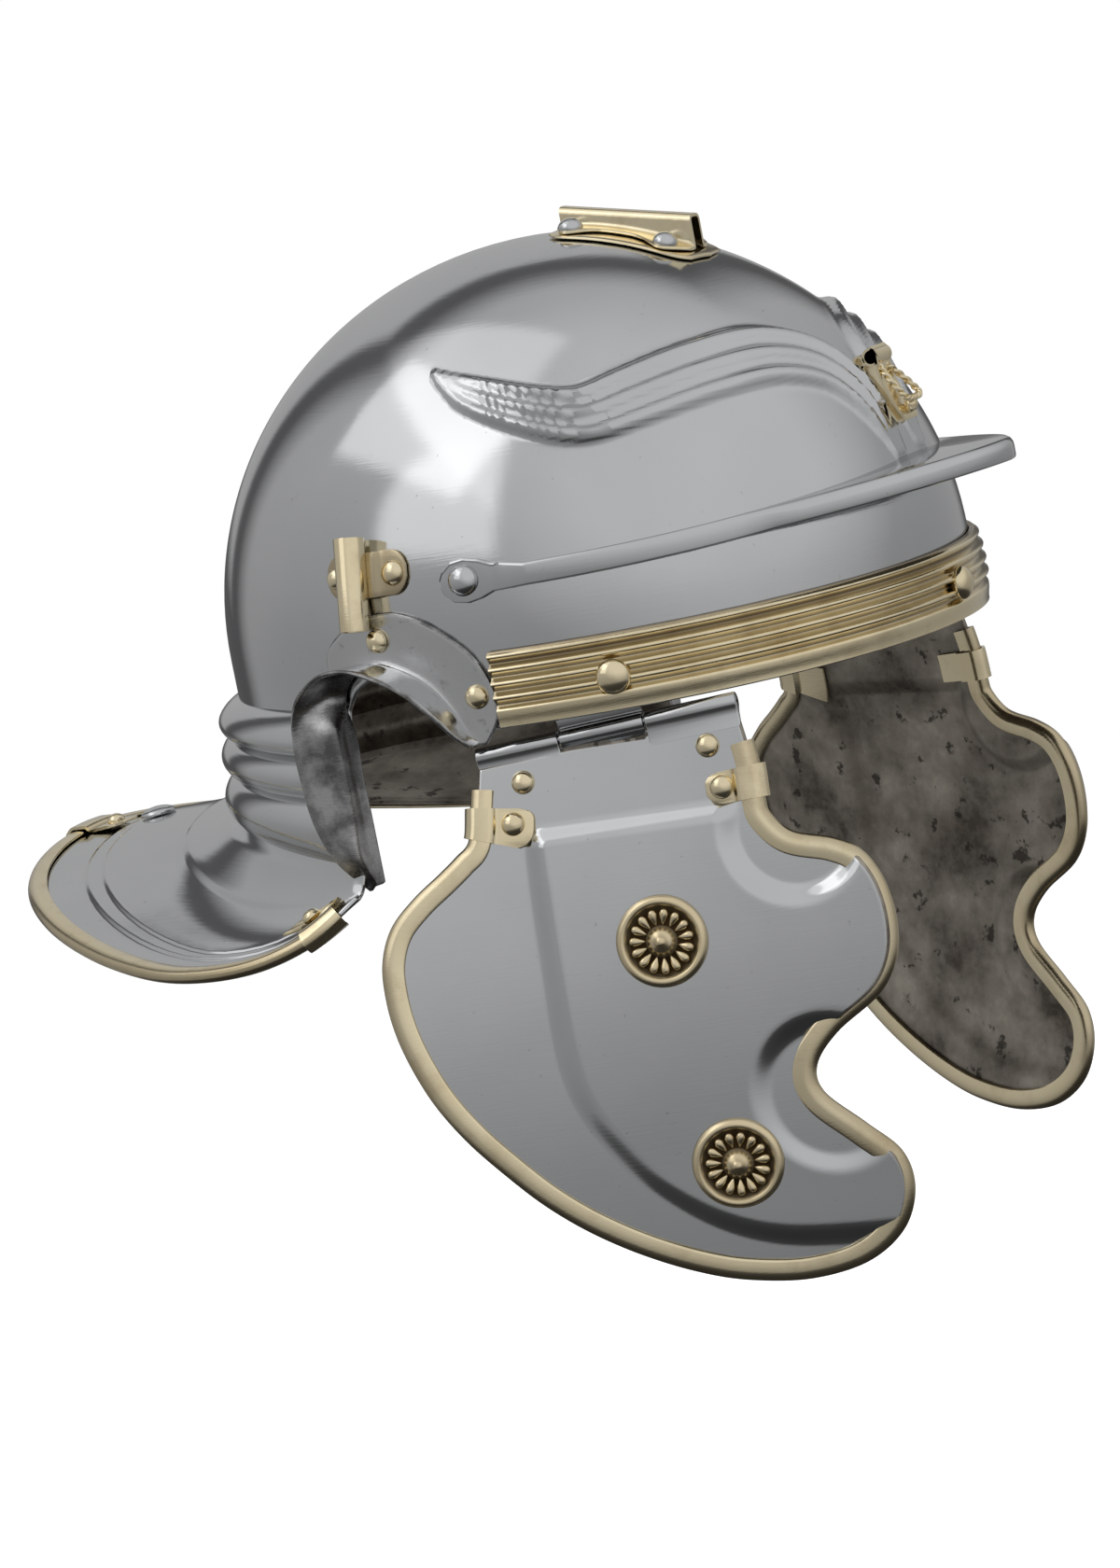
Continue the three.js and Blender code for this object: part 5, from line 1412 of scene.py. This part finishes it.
# What the metal mirrors, as azimuth and elevation in degrees
STUDIO = Sizes(bright_front=(330, 40), softbox_edge=((240, 40), (160, 44)), softbox_left=(248, 0),
               softbox_right=(171, 0), softbox_low=(243, 28), backdrop=(128, 22),
               backdrop_size=(0.36, 0.42))
FLOOR = Sizes(height=-300, radius=1700, glow=0.8)


def bearing(azimuth, elevation):
    """Direction with an azimuth from +X towards +Y and an elevation, in degrees"""
    turn, lift = math.radians(azimuth), math.radians(elevation)
    return Vector((math.cos(turn) * math.cos(lift), math.sin(turn) * math.cos(lift), math.sin(lift)))


def surroundings():
    """White behind the helmet; to mirror, a pale studio with a long softbox and a framed backdrop"""
    world = bpy.data.worlds.new("studio")
    world.use_nodes = True
    bpy.context.scene.world = world
    nodes = Nodes(world.node_tree)
    way = nodes.add("ShaderNodeTexCoord", output="Generated")

    def towards(direction):
        return nodes.add("ShaderNodeVectorMath", {"operation": "DOT_PRODUCT"}, {0: way, 1: direction}, 1)

    height = towards(Vector((0, 0, 1)))
    walls = nodes.ramp(height * 0.5 + 0.5, [(0.1, 0.04), (0.22, 0.07), (0.29, 0.31), (0.4, 0.36),
                                            (0.5, 0.4), (0.56, 0.44), (0.75, 0.54), (1, 0.6)])
    front = nodes.ramp(towards(bearing(*STUDIO.bright_front)), [(0.35, 0), (0.8, 1)])
    front = front * nodes.ramp(height, [(0, 0.75), (0.25, 1)])
    room = nodes.blend(front, walls, (0.78, 0.78, 0.78))
    start, end = (bearing(*corner) for corner in STUDIO.softbox_edge)
    mask = nodes.ramp(towards(end.cross(start).normalized()), [(0, 0), (0.035, 1)])
    right_edge, left_edge = (nodes.ramp(towards(bearing(*side)), [(0, 0), (0.05, 1)])
                             for side in (STUDIO.softbox_right, STUDIO.softbox_left))
    glow = nodes.ramp(height, [(0.6, 1), (0.8, 0.75), (1, 0.5)])
    low_part = right_edge * nodes.ramp(towards(bearing(*STUDIO.softbox_low)), [(0.93, 0), (0.95, 1)])
    low_part = low_part * nodes.ramp(height, [(0.3, 0), (0.34, 1)])
    softbox_share = (mask * right_edge * left_edge * glow).at_least(low_part * 0.7)
    lit = nodes.blend(softbox_share, room, (1.3, 1.3, 1.3))
    middle = bearing(*STUDIO.backdrop)
    aside = Vector((0, 0, 1)).cross(middle).normalized()
    half_width, half_height = STUDIO.backdrop_size
    across = towards(aside).size() * (1 / half_width)
    upright = towards(middle.cross(aside)).size() * (1 / half_height)
    surround = nodes.ramp(across.at_least(upright) * 0.5, [(0.4, 0), (0.48, 1), (0.6, 1), (0.82, 0)])
    surround = surround * nodes.ramp(towards(middle), [(0.5, 0), (0.8, 1)])
    mirrored_room = nodes.blend(surround * 0.85, lit, (0.05, 0.05, 0.052))
    seen = nodes.add("ShaderNodeLightPath", output="Is Camera Ray")
    shown = nodes.blend(seen, mirrored_room, (1, 1, 1))
    background = world.node_tree.nodes["Background"]
    world.node_tree.links.new(shown.socket, background.inputs["Color"])


camera()
floor()
surroundings()
softbox("long_softbox", (-1.5, -1.2, 2.3), (2.6, 1.3), 6)
bpy.context.scene.view_settings.view_transform = "Standard"
